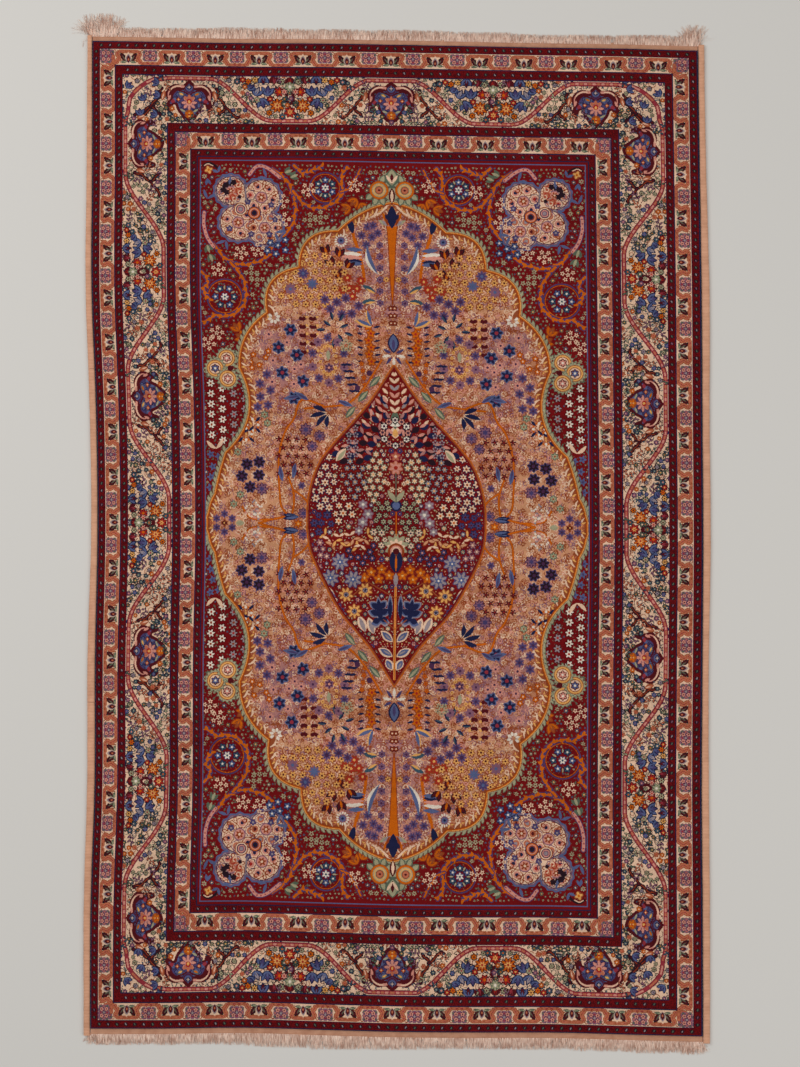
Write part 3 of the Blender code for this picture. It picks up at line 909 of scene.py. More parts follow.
def upper_medallion(chart):
    """Flower beds between the column and the medallion's edge, each of one kind."""
    for i in range(-3, 4):
        for j in range(-4, 4):
            u, v = 20.5 * (i + 0.5 * (j % 2)), 17.5 * j
            if math.hypot(u / 1.2, v) < 66:
                floret(chart, Spot(u - 172, v + 520, u - 172), 7.6, "gold", "maroon", "brown", 6)
    for x, y, yarn in ((-187, 534, "violet"), (-168, 512, "blue"), (-214, 500, "mauve")):
        floret(chart, Spot(x, y), 11, yarn, "blue", "mauve", 8)
    for x, y in ((-117, 473), (-98, 482), (-71, 466), (-131, 458), (-107, 447), (-86, 449),
                 (-142, 478)):
        floret(chart, Spot(x, y), 9.5, "violet", "plum", "mauve", 8)
        chart.star(Spot(x, y), 5, "plum", 8, 0.4)
    for k in range(9):
        out = Spot(-122, 414, 40 * k + 12).to(0, 11 if k % 2 else 20)
        chart.leaf(out, 20, 7, "navy")
        chart.leaf(out.to(1.5, 2), 16, 3, "teal")
    for k in range(5):
        for x in (-190, -168):
            leaf_pair(chart, Spot(x, 432 - 18 * k), 11, 8, "maroon", 38)
            chart.disc(Spot(x + 9, 440 - 18 * k), 3, "gold")
    for x, y in ((-216, 412), (-242, 374), (-204, 358), (-236, 320), (-193, 302), (-213, 266)):
        floret(chart, Spot(x, y, x), 13.2, "navy", "rose", "blue", 6)
    for x, y in ((-262, 402), (-224, 385), (-222, 343), (-255, 346), (-210, 328), (-212, 296),
                 (-196, 338), (-258, 300)):
        floret(chart, Spot(x, y), 8.5, "pink", "plum", "lilac", 7)
    for k in range(7):
        chart.leaf(Spot(-250, 438, 45 * k + 60).to(0, 4.5), 9.5, 6.2, "white")
    wreath = Spot(-138, 348)
    for angle in np.linspace(0, 2 * math.pi, 15, endpoint=False):
        spot = wreath.to(17 * math.sin(angle), 31 * math.cos(angle))
        chart.disc(spot, 3.6, "gold")
        chart.disc(spot, 1.3, "brown")
    chart.leaf(wreath, 22, 9, "sage")
    floret(chart, wreath.to(1, -16), 8.5, "plum", "pink", "mauve", 6)
    for k, angle in enumerate(np.linspace(0, 2 * math.pi, 10, endpoint=False)):
        spot = wreath.to(35 * math.sin(angle), 48 * math.cos(angle))
        floret(chart, spot, 8.6, ("violet", "mauve")[k % 2], "plum", "mauve", 7)
    for k in range(5):
        daisy(chart, Spot(-100, 380, 72 * k).to(0, 9), 6, "sage", "green", None, 5)
    for k in range(6):
        floret(chart, Spot(-52 + 5 * (k % 2), 422 - 15 * k), 9, "orange", "red", "rust", 5)
        for side in (1, -1):
            chart.leaf(Spot(-52 + side * 11, 420 - 15 * k, side * -78), 14, 5, "navy")
    for turn in (14, 66):
        chart.leaf(Spot(-46, 420, turn), 38, 10, "gold")
        chart.leaf(Spot(-45, 423, turn), 34, 7, "blue")


def almond_shoulder(chart):
    """The blue bud over the almond's tip, and the leaves and blossoms down its shoulder."""
    for k in range(9):
        chart.leaf(Spot(0, 362, 40 * k + 20).to(0, 6), 19, 6, ("white", "violet")[k % 2])
    chart.leaf(Spot(0, 366), 42, 24, "navy")
    chart.leaf(Spot(0, 369), 36, 17, "blue")
    chart.leaf(Spot(0, 372), 24, 7, "violet")
    for k in range(3):
        floret(chart, Spot(-4, 462 - 16 * k), 5, "rust", "cream", "maroon", 5)
    for k in range(5):
        for x, tilt in ((-88, 80), (-98, 84)):
            chart.leaf(Spot(x + 4 * k, 338 - 14 * k, tilt), 15, 5.5, "navy")
        floret(chart, Spot(-68 + 2 * k, 342 - 15 * k), 5, "orange", "red", "rust", 5)
    for x, y, turn in ((-30, 316, 136), (-56, 284, 138), (-84, 250, 140)):
        chart.leaf(Spot(x, y, turn), 32, 13, "green")
        chart.leaf(Spot(x, y, turn), 30, 5, "sage")
        chart.disc(Spot(x - 22, y + 6), 6, "plum")
    for x, y in ((-269, 316), (-284, 296), (-262, 282), (-284, 268), (-268, 250), (-290, 246)):
        floret(chart, Spot(x, y), 9, "violet", "plum", "mauve", 6)
    for x, y in ((-270, 352), (-284, 336), (-296, 358), (-264, 366), (-300, 330)):
        floret(chart, Spot(x, y), 6, "orange", "cream", "rust", 5)


def side_medallion(chart):
    """The medallion's flanks: red stars, dark flowers, orange vines."""
    vines = (
        ((-26, 350), (-60, 296), (-96, 258), (-132, 250), (-190, 244)),
        ((-150, 250), (-196, 262), (-214, 222), (-232, 196), (-246, 150), (-248, 100), (-246, 62)),
        ((-246, 62), (-242, 34), (-222, 18), (-216, 60), (-228, 100)),
        ((-222, 18), (-262, 8), (-292, 0)),
        ((-262, 8), (-306, 10), (-326, 34)),
        ((-184, 40), (-196, 56), (-216, 70)),
    )
    for line in vines:
        chart.stroke(curve(line, 6), 5.0, "rust")
        chart.stroke(curve(line, 6), 3.4, "orange")
    for j in range(5):
        for i in range(4):
            x, y = -247 + 19 * (i + 0.5 * (j % 2)), 178 - 18 * j
            if chart.open[np.searchsorted(chart.y, y), np.searchsorted(chart.x, x)]:
                chart.star(Spot(x, y, 30 * i), 7.4, "maroon", 5, 0.62)
                chart.disc(Spot(x, y), 1.2, "red")
    for x, y, radius in ((-189, 199, 13), (-160, 186, 11), (-176, 164, 11), (-284, 72, 12),
                         (-196, 22, 11)):
        floret(chart, Spot(x, y), radius, "mauve", "violet", "plum", 8)
        chart.star(Spot(x, y), radius * 0.5, "violet", 6, 0.4)
    for x, y in ((-315, 124), (-289, 129), (-326, 99), (-290, 101), (-309, 76)):
        floret(chart, Spot(x, y, x), 12, "black", "plum", "violet", 7)
    for k, length in enumerate((30, 36, 34, 26)):
        chart.leaf(Spot(-140, 236, 70 + 34 * k).to(0, 6), length, 10, "navy", 2)
        chart.leaf(Spot(-140, 236, 88 + 34 * k).to(0, 4), length * 0.6, 4, "cream")
    for x, y, turn in ((-182, 262, 60), (-202, 270, 100), (-120, 262, 250), (-246, 122, 190),
                       (-212, 128, 170)):
        chart.leaf(Spot(x, y, turn), 34, 10, "blue")
        chart.leaf(Spot(x, y, turn), 26, 4, "violet")
    rng = np.random.default_rng(3)
    for _ in range(46):
        out = Spot(-300, 27, rng.uniform(0, 360)).to(0, 21 * math.sqrt(rng.uniform(0, 1)))
        chart.disc(out, 2.3, ("white", "cream", "pink", "grey")[rng.integers(4)])
    tip = Spot(-364, 0)
    for k in range(6):
        floret(chart, tip.to(0, 0, 60 * k).to(0, 19), 7.5, "violet", "plum", "mauve", 6)
    floret(chart, tip, 6, "maroon", "gold", "brown", 5)
    for y, turn in ((15, 84), (14, 96)):
        chart.leaf(Spot(-206, y, turn), 34, 10, "navy")
        chart.leaf(Spot(-206, y, turn), 28, 5, "blue")
    floret(chart, Spot(-207, 0), 8, "orange", "gold", "rust", 6)
    chart.leaf(Spot(-322, 0, 90), 18, 12, "sage")
    for x, y in ((-302, 208), (-316, 188)):
        chart.ring(Spot(x, y), 13, 4, "orange")
        for k in range(4):
            chart.leaf(Spot(x, y, 90 * k + 45).to(0, 9), 15, 6, "navy")
            chart.disc(Spot(x, y, 90 * k).to(0, 12), 3, "white")
    for x, y in ((-330, 60), (-344, 40), (-270, 212), (-276, 230), (-334, 150)):
        floret(chart, Spot(x, y), 7, "sage", "brown", "green", 6)


def fill_medallion(chart, depth):
    """A few more small flowers wherever the medallion's ground is still empty."""
    kinds = (("violet", "plum", "mauve"), ("mauve", "pink", "plum"), ("sage", "brown", "green"),
             ("orange", "cream", "rust"), ("pink", "maroon", "mauve"), ("gold", "maroon", "brown"))
    grounds = ("tan", "lilac", "peach", "brown", "cream", "rust", "sage")
    chart.open &= depth > 26
    meadow(chart, *MEDALLION_BOX, 23, 6.6, kinds, grounds, 41)


def almond(chart):
    """The crimson almond: drawn over its left half, then folded to the right."""
    outline = curve(ALMOND_UPPER + ALMOND_LOWER, 8)
    depth = chart.depth(outline, chart.inside(outline))
    for grow, yarn in ((-4.2, "orange"), (-2.2, "brown"), (0.6, "crimson")):
        chart.knots[depth > grow] = NUMBER[yarn]
    chart.open = depth > 4
    almond_tree(chart)
    almond_crown(chart)
    almond_flowers(chart)
    chart.open = None


def almond_tree(chart):
    """The foot of the tree: a gold stem with paired leaves, asters and a serrated navy leaf."""
    chart.stroke([(0, -330), (0, -120)], 5.2, "gold")
    chart.stroke([(0, -330), (0, -120)], 1.6, "orange")
    for y, tilt, length in ((-300, 30, 26), (-272, 62, 34), (-242, 48, 34)):
        chart.leaf(Spot(-4, y, tilt), length, 17, "cream")
        chart.leaf(Spot(-6, y + 2, tilt), length * 0.8, 11, "blue")
        chart.leaf(Spot(-8, y + 4, tilt), length * 0.5, 4, "grey")
    for x, y, tilt in ((-44, -226, 20), (-62, -222, 24)):
        chart.leaf(Spot(x, y, tilt), 36, 18, "cream")
        chart.leaf(Spot(x, y, tilt), 32, 9, "grey")
    for size, yarn in ((1.3, "grey"), (1.16, "blue"), (1.0, "navy")):
        serrated = Spot(-33, -176, 8, size)
        for v, turn, length in ((-24, 0, 46), (-10, 62, 22), (-10, -62, 20), (2, 50, 20),
                                (2, -50, 18), (-20, 100, 18), (-20, -100, 14)):
            chart.leaf(serrated.to(0, v, turn), length, 12.5, yarn)
        chart.leaf(Spot(-11, -196, 0, size), 42, 9, yarn)
    for twig in (((-2, -215), (-24, -196)), ((-2, -150), (-60, -118)), ((-60, -118), (-92, -150))):
        chart.stroke(twig, 2, "brown")
    for x, y in ((-104, -146), (-64, -136), (-86, -180)):
        floret(chart, Spot(x, y, x), 15, "gold", "grey", "brown", 8)
        chart.disc(Spot(x, y), 6.2, "brown")
        chart.disc(Spot(x, y), 5, "grey")
        chart.star(Spot(x, y), 4.6, "navy", 5, 0.6)
    for x, y in ((-52, -98), (-30, -92), (-66, -110), (-36, -112), (-14, -104)):
        floret(chart, Spot(x, y), 10, "orange", "maroon", "rust", 5)
        chart.disc(Spot(x, y), 2.5, "gold")
    for x, y in ((-138, -112), (-90, -114), (-118, -78)):
        floret(chart, Spot(x, y, 20), 18, "grey", "blue", "violet", 8)
        chart.star(Spot(x, y), 9, "blue", 6, 0.6)
        chart.disc(Spot(x, y), 2, "white")
    chart.leaf(Spot(-128, -150, 50), 34, 14, "cream")
    chart.leaf(Spot(-126, -152, 50), 30, 8, "blue")


def almond_crown(chart):
    """Up the middle to the tip: a pale rosette, pink blossoms and dark bands of leaves."""
    chart.star(Spot(0, -42), 26, "sage", 9, 0.3)
    chart.star(Spot(0, -46), 19, "cream", 9, 0.3)
    chart.ring(Spot(0, -54), 15, 5, "rust")
    chart.ring(Spot(0, -54), 11, 3, "pink")
    chart.disc(Spot(0, -54), 7, "maroon")
    chart.leaf(Spot(-2, -98, 8), 44, 17, "navy")
    chart.leaf(Spot(0, -96), 34, 5, "orange")
    chart.leaf(Spot(0, -128), 30, 10, "grey")
    chart.stroke([(0, -20), (0, 30)], 3, "orange")
    chart.disc(Spot(0, 42), 12, "navy")
    chart.disc(Spot(0, 42), 8, "blue")
    leaf_pair(chart, Spot(0, 50), 30, 11, "sage", 36)
    chart.stroke([(0, 50), (0, 110)], 3, "green")
    floret(chart, Spot(0, 122), 14, "pink", "red", "salmon", 7)
    floret(chart, Spot(0, 146), 10, "salmon", "cream", "rose", 5)
    chart.leaf(Spot(0, 184), 26, 22, "cream")
    chart.leaf(Spot(0, 186), 18, 12, "gold")
    chart.leaf(Spot(0, 204), 40, 18, "green")
    leaf_pair(chart, Spot(0, 210), 18, 8, "white", 60)
    for k in range(6):
        for j in range(5):
            x, y = -15 * j, 246 + 15.5 * k - 7 * j
            tone = ("cream", "cream", "pink", "grey")[(2 * j + k) % 4]
            chart.leaf(Spot(x + 1, y - 8, 42), 19, 8.4, "brown")
            chart.leaf(Spot(x + 1, y - 7, 42), 17, 6.2, tone)
    for ring in range(5):
        for k in range(6):
            leafy = Spot(0, 140, 9 + 15 * k + 7 * (ring % 2)).to(0, 58 + 17 * ring)
            chart.leaf(leafy.to(0, -8, 26), 20, 13, ("navy", "black")[ring % 2])
            tone = ("pink", "pink", "lilac")[(k + ring) % 3]
            chart.leaf(leafy.to(3, -6, 26 - 60 * (k % 2)), 16, 6.4, tone)
    for k in range(7):
        tone = ("white", "pink")[k % 2]
        daisy(chart, Spot(0, 196, 30 * k).to(0, 27), 6.6, tone, "plum", "black", 6)
    chart.leaf(Spot(-126, 134, -38), 34, 15, "cream")
    chart.leaf(Spot(-124, 134, -38), 30, 8, "sage")
    for k in range(5):
        for x in (-84, -98):
            daisy(chart, Spot(x, 204 - 14 * k), 6.4, "grey", "plum", None, 5)


def almond_flowers(chart):
    """Beds of flowers, each of one kind, from the shoulders down to the flanks."""
    beds = (  # centre x and y, spread across and along, pitch, radius, petal, eye, edge
        (-150, 88, 30, 60, 20, 8.0, "cream", "rust", "navy"),
        (-120, 40, 32, 34, 19, 7.6, "cream", "orange", "black"),
        (-96, 104, 30, 58, 17.5, 6.8, "grey", "gold", "black"),
        (-48, 108, 30, 62, 16, 6.2, "cream", "gold", "green"),
        (-80, 24, 24, 46, 20, 9.4, "grey", "white", "mauve"),
        (-156, 2, 30, 28, 18.5, 7.6, "violet", "maroon", "navy"),
        (-154, -52, 20, 46, 15, 7.0, "lilac", "cream", "plum"),
        (-72, -54, 36, 26, 15, 6.2, "violet", "pink", "black"),
        (-36, 22, 26, 34, 15, 5.8, "sage", "maroon", "black"),
        (-24, 76, 20, 30, 15, 5.8, "cream", "green", "brown"),
        (-40, -28, 30, 24, 16, 6.4, "cream", "navy", "green"),
    )
    rng, ground = np.random.default_rng(17), ("crimson",)
    for k in range(13):
        ragged = Spot(-150 + 7.5 * k, -32 + rng.uniform(-15, 15), rng.uniform(0, 360))
        leaf_pair(chart, ragged, 16, 7.5, "brown", 62)
        leaf_pair(chart, ragged, 14, 5, ("gold", "cream", "peach")[k % 3], 62)
    for x, y, across, along, pitch, radius, petal, eye, edge in beds:
        for j in range(-5, 6):
            for i in range(-5, 6):
                u, v = (i + 0.5 * (j % 2)) * pitch, j * pitch * ROW_SHARE
                u, v = u + rng.uniform(-2, 2), v + rng.uniform(-2, 2)
                spot = Spot(x + u, y + v, 37 * i + 61 * j, rng.uniform(0.86, 1.14))
                within = (u / across) ** 2 + (v / along) ** 2 < 1
                if within and chart.bare(spot, radius * 0.7, ground):
                    floret(chart, spot, radius, petal, eye, edge, 6)
    kinds = (("cream", "gold", "green"), ("pink", "maroon", "plum"), ("sage", "red", "navy"),
             ("navy", "pink", "violet"), ("grey", "white", "navy"), ("cream", "rust", "navy"))
    inside = (-190, -330), (0, 340)
    meadow(chart, *inside, 11.0, 4.4, kinds, ("crimson", "red"), 31, "sage")
    dots = (("cream", "plum"), ("salmon", "pink"), ("sage", "gold"), ("navy", "white"),
            ("pink", "navy"), ("rust", "cream"))
    meadow(chart, *inside, 6.0, 2.0, dots, ("crimson", "red"), 32, "rust")


def draw_chart():
    """The whole rug's yarn numbers, knot by knot."""
    x = ((np.arange(COLUMNS) + 0.5) / COLUMNS - 0.5) * PILE_WIDTH
    y = ((np.arange(ROWS) + 0.5) / ROWS - 0.5) * PILE_LENGTH
    whole = Chart(np.full((ROWS, COLUMNS), NUMBER["crimson"], np.uint8), x, y)
    quarter = whole.part(-PILE_WIDTH, 0, 0, PILE_LENGTH)
    field = quarter.part(-FIELD_X, 0, 0, FIELD_Y)
    depth = medallion(field)
    medallion_ground(field, depth)
    column_and_birds(field)
    upper_medallion(field)
    almond_shoulder(field)
    side_medallion(field)
    fill_medallion(field, depth)
    field.open = depth <= -8  # clear of the saw-edged leaves
    field_corner(field)
    field.open = None
    trefoil(field)
    finial(field)
    main_border(quarter)
    small_border(quarter, 1)
    small_border(quarter, 5)
    for number in (0, 2, 4):
        guard_stripe(quarter, number)
    guard_stripe(quarter, 6, thin_line=True)
    middle_row, middle_column = ROWS // 2, COLUMNS // 2
    whole.knots[:middle_row] = whole.knots[middle_row:][::-1]
    almond(whole.part(-200, 0, -360, 370))
    whole.knots[:, middle_column:] = whole.knots[:, :middle_column][:, ::-1]
    return whole.knots


# The rug itself.

PILE_TOP = 8.0 * MM
WEB_TOP = 3.0 * MM
SIDES = ("left", "right")  # the pile is one cloth; it is held as six pieces to keep each one light
PARTS = ("near", "middle", "far")
PULL = 26.0  # millimetres by which the wefts near the middle sit towards the far end
LEAN = 9.0  # and by which the warps in the middle sit towards the left
RIM_FALL = 1.4 * MM  # the outermost tufts lean out, which lowers the rim by this
NAP = 0.25 * MM  # how far the pile's surface rises and falls
COIL = 3.0 * MM  # from one turn of the overcasting yarn to the next
TUFT_PITCH = 6.2 * MM  # from one bunch of loose warps to the next
CORNER_TUFT = 12 * MM  # how near the corner the long tufts start


def node_points(node):
    """The corners of a CAD node's mesh."""
    return np.array([v.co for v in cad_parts[node].data.vertices])


def outline_at(node, height):
    """The left, right, near and far lines of a CAD node at one height, each as (x, y) rows."""
    points = node_points(node)
    level = np.unique(points[np.abs(points[:, 2] - height) < 0.2 * MM][:, :2].round(6), axis=0)
    margin = 30 * MM  # no side or end wanders further than this
    low, high = level.min(0) + margin, level.max(0) - margin
    sides = [level[level[:, 0] < low[0]], level[level[:, 0] > high[0]]]
    ends = [level[level[:, 1] < low[1]], level[level[:, 1] > high[1]]]
    return [s[s[:, 1].argsort()] for s in sides] + [e[e[:, 0].argsort()] for e in ends]


def along_line(line, axis, shares):
    """Points on a line at shares of its length along one axis."""
    at = line[0, axis] + (line[-1, axis] - line[0, axis]) * shares
    return np.stack([np.interp(at, line[:, axis], line[:, k]) for k in (0, 1)], -1)


class Plan:
    """Where a share across and along the straight chart lies on the woven rug."""

    def __init__(self, left, right, near, far):
        self.lines = left, right, near, far

    def __call__(self, across, along):
        across, along = np.asarray(across, float), np.asarray(along, float)
        left, right, near, far = self.lines
        corners = [near[0], near[-1], far[0], far[-1]]
        s, t = across[..., None], along[..., None]
        along_sides = (1 - s) * along_line(left, 1, along) + s * along_line(right, 1, along)
        along_ends = (1 - t) * along_line(near, 0, across) + t * along_line(far, 0, across)
        flat = (1 - t) * ((1 - s) * corners[0] + s * corners[1])
        flat = flat + t * ((1 - s) * corners[2] + s * corners[3])
        return along_sides + along_ends - flat


def ripple(x, y, seed, sizes=(0.16, 0.07, 0.03)):
    """A gentle, smooth unevenness over the floor plan, about 1 high."""
    rng = np.random.default_rng(seed)
    total = np.zeros(np.broadcast(x, y).shape)
    for size in sizes:
        for _ in range(4):
            angle, phase = rng.uniform(0, 2 * math.pi, 2)
            way = x * math.cos(angle) + y * math.sin(angle)
            total += np.sin(2 * math.pi * way / size + phase)
    return total / (2 * len(sizes))


def new_piece(name, points, faces, material):
    """A piece of the rug's one body, smooth but for its sharp edges."""
    mesh = bpy.data.meshes.new(name)
    mesh.from_pydata(points, [], faces)
    mesh.materials.append(material)
    mesh.shade_smooth()
    mesh.set_sharp_from_angle(angle=math.radians(50))
    piece = bpy.data.objects.new(name, mesh)
    bpy.context.collection.objects.link(piece)
    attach(piece, "root")
    return piece


def slab(name, top, bottom, material):
    """A closed piece between two grids of points, and which face of the grid each face is by."""
    rows, columns = top.shape[:2]
    count = rows * columns
    number = np.arange(count).reshape(rows, columns)
    cell = np.arange((rows - 1) * (columns - 1)).reshape(rows - 1, columns - 1)
    upper = np.stack([number[:-1, :-1], number[:-1, 1:], number[1:, 1:], number[1:, :-1]], -1)
    upper = upper.reshape(-1, 4)
    rim = np.concatenate([number[0, :-1], number[:-1, -1], number[-1, :0:-1], number[:0:-1, 0]])
    after = np.roll(rim, -1)
    walls = np.stack([rim + count, after + count, after, rim], 1)
    faces = np.concatenate([upper, upper[:, ::-1] + count, walls])
    beside = np.concatenate([cell[0], cell[:, -1], cell[-1, ::-1], cell[::-1, 0]])
    cells = np.concatenate([cell.ravel(), cell.ravel(), beside])
    points = np.concatenate([top.reshape(-1, 3), bottom.reshape(-1, 3)])
    return new_piece(name, points.tolist(), faces.tolist(), material), faces, cells


def add_map(piece, name, places):
    """Gives each face corner of a piece its place on a flat map."""
    layer = piece.data.uv_layers.new(name=name)
    layer.data.foreach_set("uv", np.asarray(places, np.float32).ravel())


def write_yarns(piece, blocks, cells):
    """Each face holds its block of knots, one value for each row of four knots."""
    for k in range(BLOCK):
        yarns = sum(blocks[:, k, :, j] * float(YARN_BASE) ** j for j in range(BLOCK))
        values = piece.data.attributes.new(f"yarns_{k}", "FLOAT", "FACE")
        values.data.foreach_set("value", yarns.ravel()[cells].astype(np.float32))


def pile_tile(name, chart, plan, rows, columns, material):
    """One piece of the pile, between block rows and block columns of the chart, and its size."""
    block_rows, block_columns = ROWS // BLOCK, COLUMNS // BLOCK
    v, u = np.meshgrid(np.arange(rows[0], rows[1] + 1), np.arange(columns[0], columns[1] + 1),
                       indexing="ij")
    across, along = u / block_columns, v / block_rows
    pulled = along + PULL / PILE_LENGTH * np.sin(math.pi * along)
    leaned = across - LEAN / PILE_WIDTH * np.sqrt(np.sin(math.pi * across).clip(0))
    flat = plan(leaned, pulled)
    rim = np.minimum(np.minimum(u, block_columns - u), np.minimum(v, block_rows - v))
    fall = RIM_FALL * np.clip(1 - rim / 1.5, 0, 1) ** 2
    height = PILE_TOP - 0.3 * MM + NAP * ripple(flat[..., 0], flat[..., 1], 2) - fall
    top = np.concatenate([flat, height[..., None]], -1)
    bottom = np.concatenate([flat, np.zeros_like(height)[..., None]], -1)
    piece, faces, cells = slab(name, top, bottom, material)
    places = np.stack([u, v], -1).reshape(-1, 2)[faces % u.size].astype(float)
    wide, long = columns[1] - columns[0], rows[1] - rows[0]
    inward = np.repeat([(0, 1), (-1, 0), (0, -1), (1, 0)], (wide, long, wide, long), axis=0)
    places[2 * wide * long :, :2] += 0.7 * inward[:, None]  # the rim's foot shows the next knots
    add_map(piece, "knots", places)
    share = (places - (columns[0], rows[0])) / (wide, long)
    add_map(piece, "OFBake", 0.002 + 0.996 * share)  # just clear of the map's border
    blocks = chart.reshape(block_rows, BLOCK, block_columns, BLOCK).astype(np.float64)
    write_yarns(piece, blocks[rows[0] : rows[1], :, columns[0] : columns[1]], cells)
    edge = plan(np.array([columns[0], columns[1]]) / block_columns, np.array(rows) / block_rows)
    return piece, tuple(np.abs(edge[1] - edge[0]).tolist())


def linear(colour):
    """An sRGB hex colour as linear light, with full alpha."""
    values = [int(colour[k : k + 2], 16) / 255 for k in (1, 3, 5)]
    return [v / 12.92 if v <= 0.04045 else ((v + 0.055) / 1.055) ** 2.4 for v in values] + [1.0]


def add(tree, kind, inputs=None, **settings):
    """Adds a node with its settings, and gives its inputs their values or links."""
    made = tree.nodes.new("ShaderNode" + kind)
    for name, value in settings.items():
        setattr(made, name, value)
    for name, value in (inputs or {}).items():
        if isinstance(value, bpy.types.NodeSocket):
            tree.links.new(value, made.inputs[name])
        else:
            made.inputs[name].default_value = value
    return made


def new_material(name, **values):
    """A new material with values on its shader's sockets, its node tree and the shader."""
    made = bpy.data.materials.new(name)
    made.use_nodes = True
    shader = made.node_tree.nodes["Principled BSDF"]
    for name, value in values.items():
        shader.inputs[name.replace("_", " ")].default_value = value
    return made, made.node_tree, shader


def dyed_yarns(tree, whole):
    """The colour of each whole knot, read back from the yarn numbers that its face holds."""
    digit = add(tree, "VectorMath", {0: whole.outputs[0], 1: [BLOCK] * 3}, operation="MODULO")
    column_row = add(tree, "SeparateXYZ", {0: digit.outputs[0]})
    yarns = add(tree, "Attribute", attribute_name="yarns_0").outputs["Fac"]
    for k in range(1, BLOCK):
        past = add(tree, "Math", {0: column_row.outputs[1], 1: k - 0.5}, operation="GREATER_THAN")
        row = add(tree, "Attribute", attribute_name=f"yarns_{k}")
        yarns = add(tree, "Mix", {0: past.outputs[0], 2: yarns, 3: row.outputs["Fac"]}).outputs[0]
    place_value = add(tree, "Math", {0: float(YARN_BASE), 1: column_row.outputs[0]}, operation="POWER")
    centred = add(tree, "Math", {0: yarns, 1: 0.5})
    shifted = add(tree, "Math", {0: centred.outputs[0], 1: place_value.outputs[0]}, operation="DIVIDE")
    floor = add(tree, "Math", {0: shifted.outputs[0]}, operation="FLOOR")
    number = add(tree, "Math", {0: floor.outputs[0], 1: float(YARN_BASE)}, operation="MODULO")
    middle = add(tree, "Math", {0: number.outputs[0], 1: 0.5})
    share = add(tree, "Math", {0: middle.outputs[0], 1: float(YARN_BASE)}, operation="DIVIDE")
    wools = add(tree, "ValToRGB", {0: share.outputs[0]})
    ramp = wools.color_ramp
    ramp.interpolation = "CONSTANT"
    for k, colour in enumerate(YARNS.values()):
        stop = ramp.elements[0] if k == 0 else ramp.elements.new(k / YARN_BASE)
        stop.color = linear(colour)
    ramp.elements.remove(ramp.elements[-1])
    return wools.outputs[0]


def knotted_wool():
    """Hand-knotted wool: cut tufts, matt and deep, with a faint sheen across the nap."""
    made, tree, shader = new_material(
        "Knotted wool pile, hand dyed", Roughness=0.92, IOR=1.5, Specular_IOR_Level=0.04,
        Sheen_Weight=0.015, Sheen_Roughness=0.5,
    )
    place = add(tree, "UVMap", uv_map="knots")
    knot = add(tree, "VectorMath", {0: place.outputs[0], "Scale": float(BLOCK)}, operation="SCALE")
    whole = add(tree, "VectorMath", {0: knot.outputs[0]}, operation="FLOOR")
    wools = dyed_yarns(tree, whole)
    # Each tuft takes the dye a little differently, and each batch of yarn fades in bands of rows.
    tuft = add(tree, "TexWhiteNoise", {"Vector": whole.outputs[0]}, noise_dimensions="2D")
    rows = add(tree, "VectorMath", {0: place.outputs[0], 1: (0.012, 0.22, 0)}, operation="MULTIPLY")
    batch = add(tree, "TexNoise", {"Vector": rows.outputs[0], "Scale": 1.0, "Detail": 2.0},
                noise_dimensions="2D")
    worn = add(tree, "TexNoise", {"Vector": place.outputs[0], "Scale": 0.05, "Detail": 3.0},
               noise_dimensions="2D")
    fibre = add(tree, "TexNoise", {"Vector": knot.outputs[0], "Scale": 1.7, "Detail": 2.0},
                noise_dimensions="2D")
    tone = 0.33
    for source, amount in ((tuft.outputs[0], 0.38), (batch.outputs[0], 0.42),
                           (worn.outputs[0], 0.26), (fibre.outputs[0], 0.28)):
        tone = add(tree, "Math", {0: source, 1: amount, 2: tone}, operation="MULTIPLY_ADD").outputs[0]
    shade = add(tree, "VectorMath", {0: wools, "Scale": tone}, operation="SCALE")
    tree.links.new(shade.outputs[0], shader.inputs["Base Color"])
    inside = add(tree, "VectorMath", {0: knot.outputs[0]}, operation="FRACTION")
    off = add(tree, "VectorMath", {0: inside.outputs[0], 1: (0.5, 0.5, 0)}, operation="DISTANCE")
    dome = add(tree, "Math", {0: fibre.outputs[0], 1: off.outputs["Value"]}, operation="SUBTRACT")
    relief = add(tree, "Bump", {"Strength": 0.35, "Distance": 0.35 * MM, "Height": dome.outputs[0]})
    tree.links.new(relief.outputs[0], shader.inputs["Normal"])
    return made


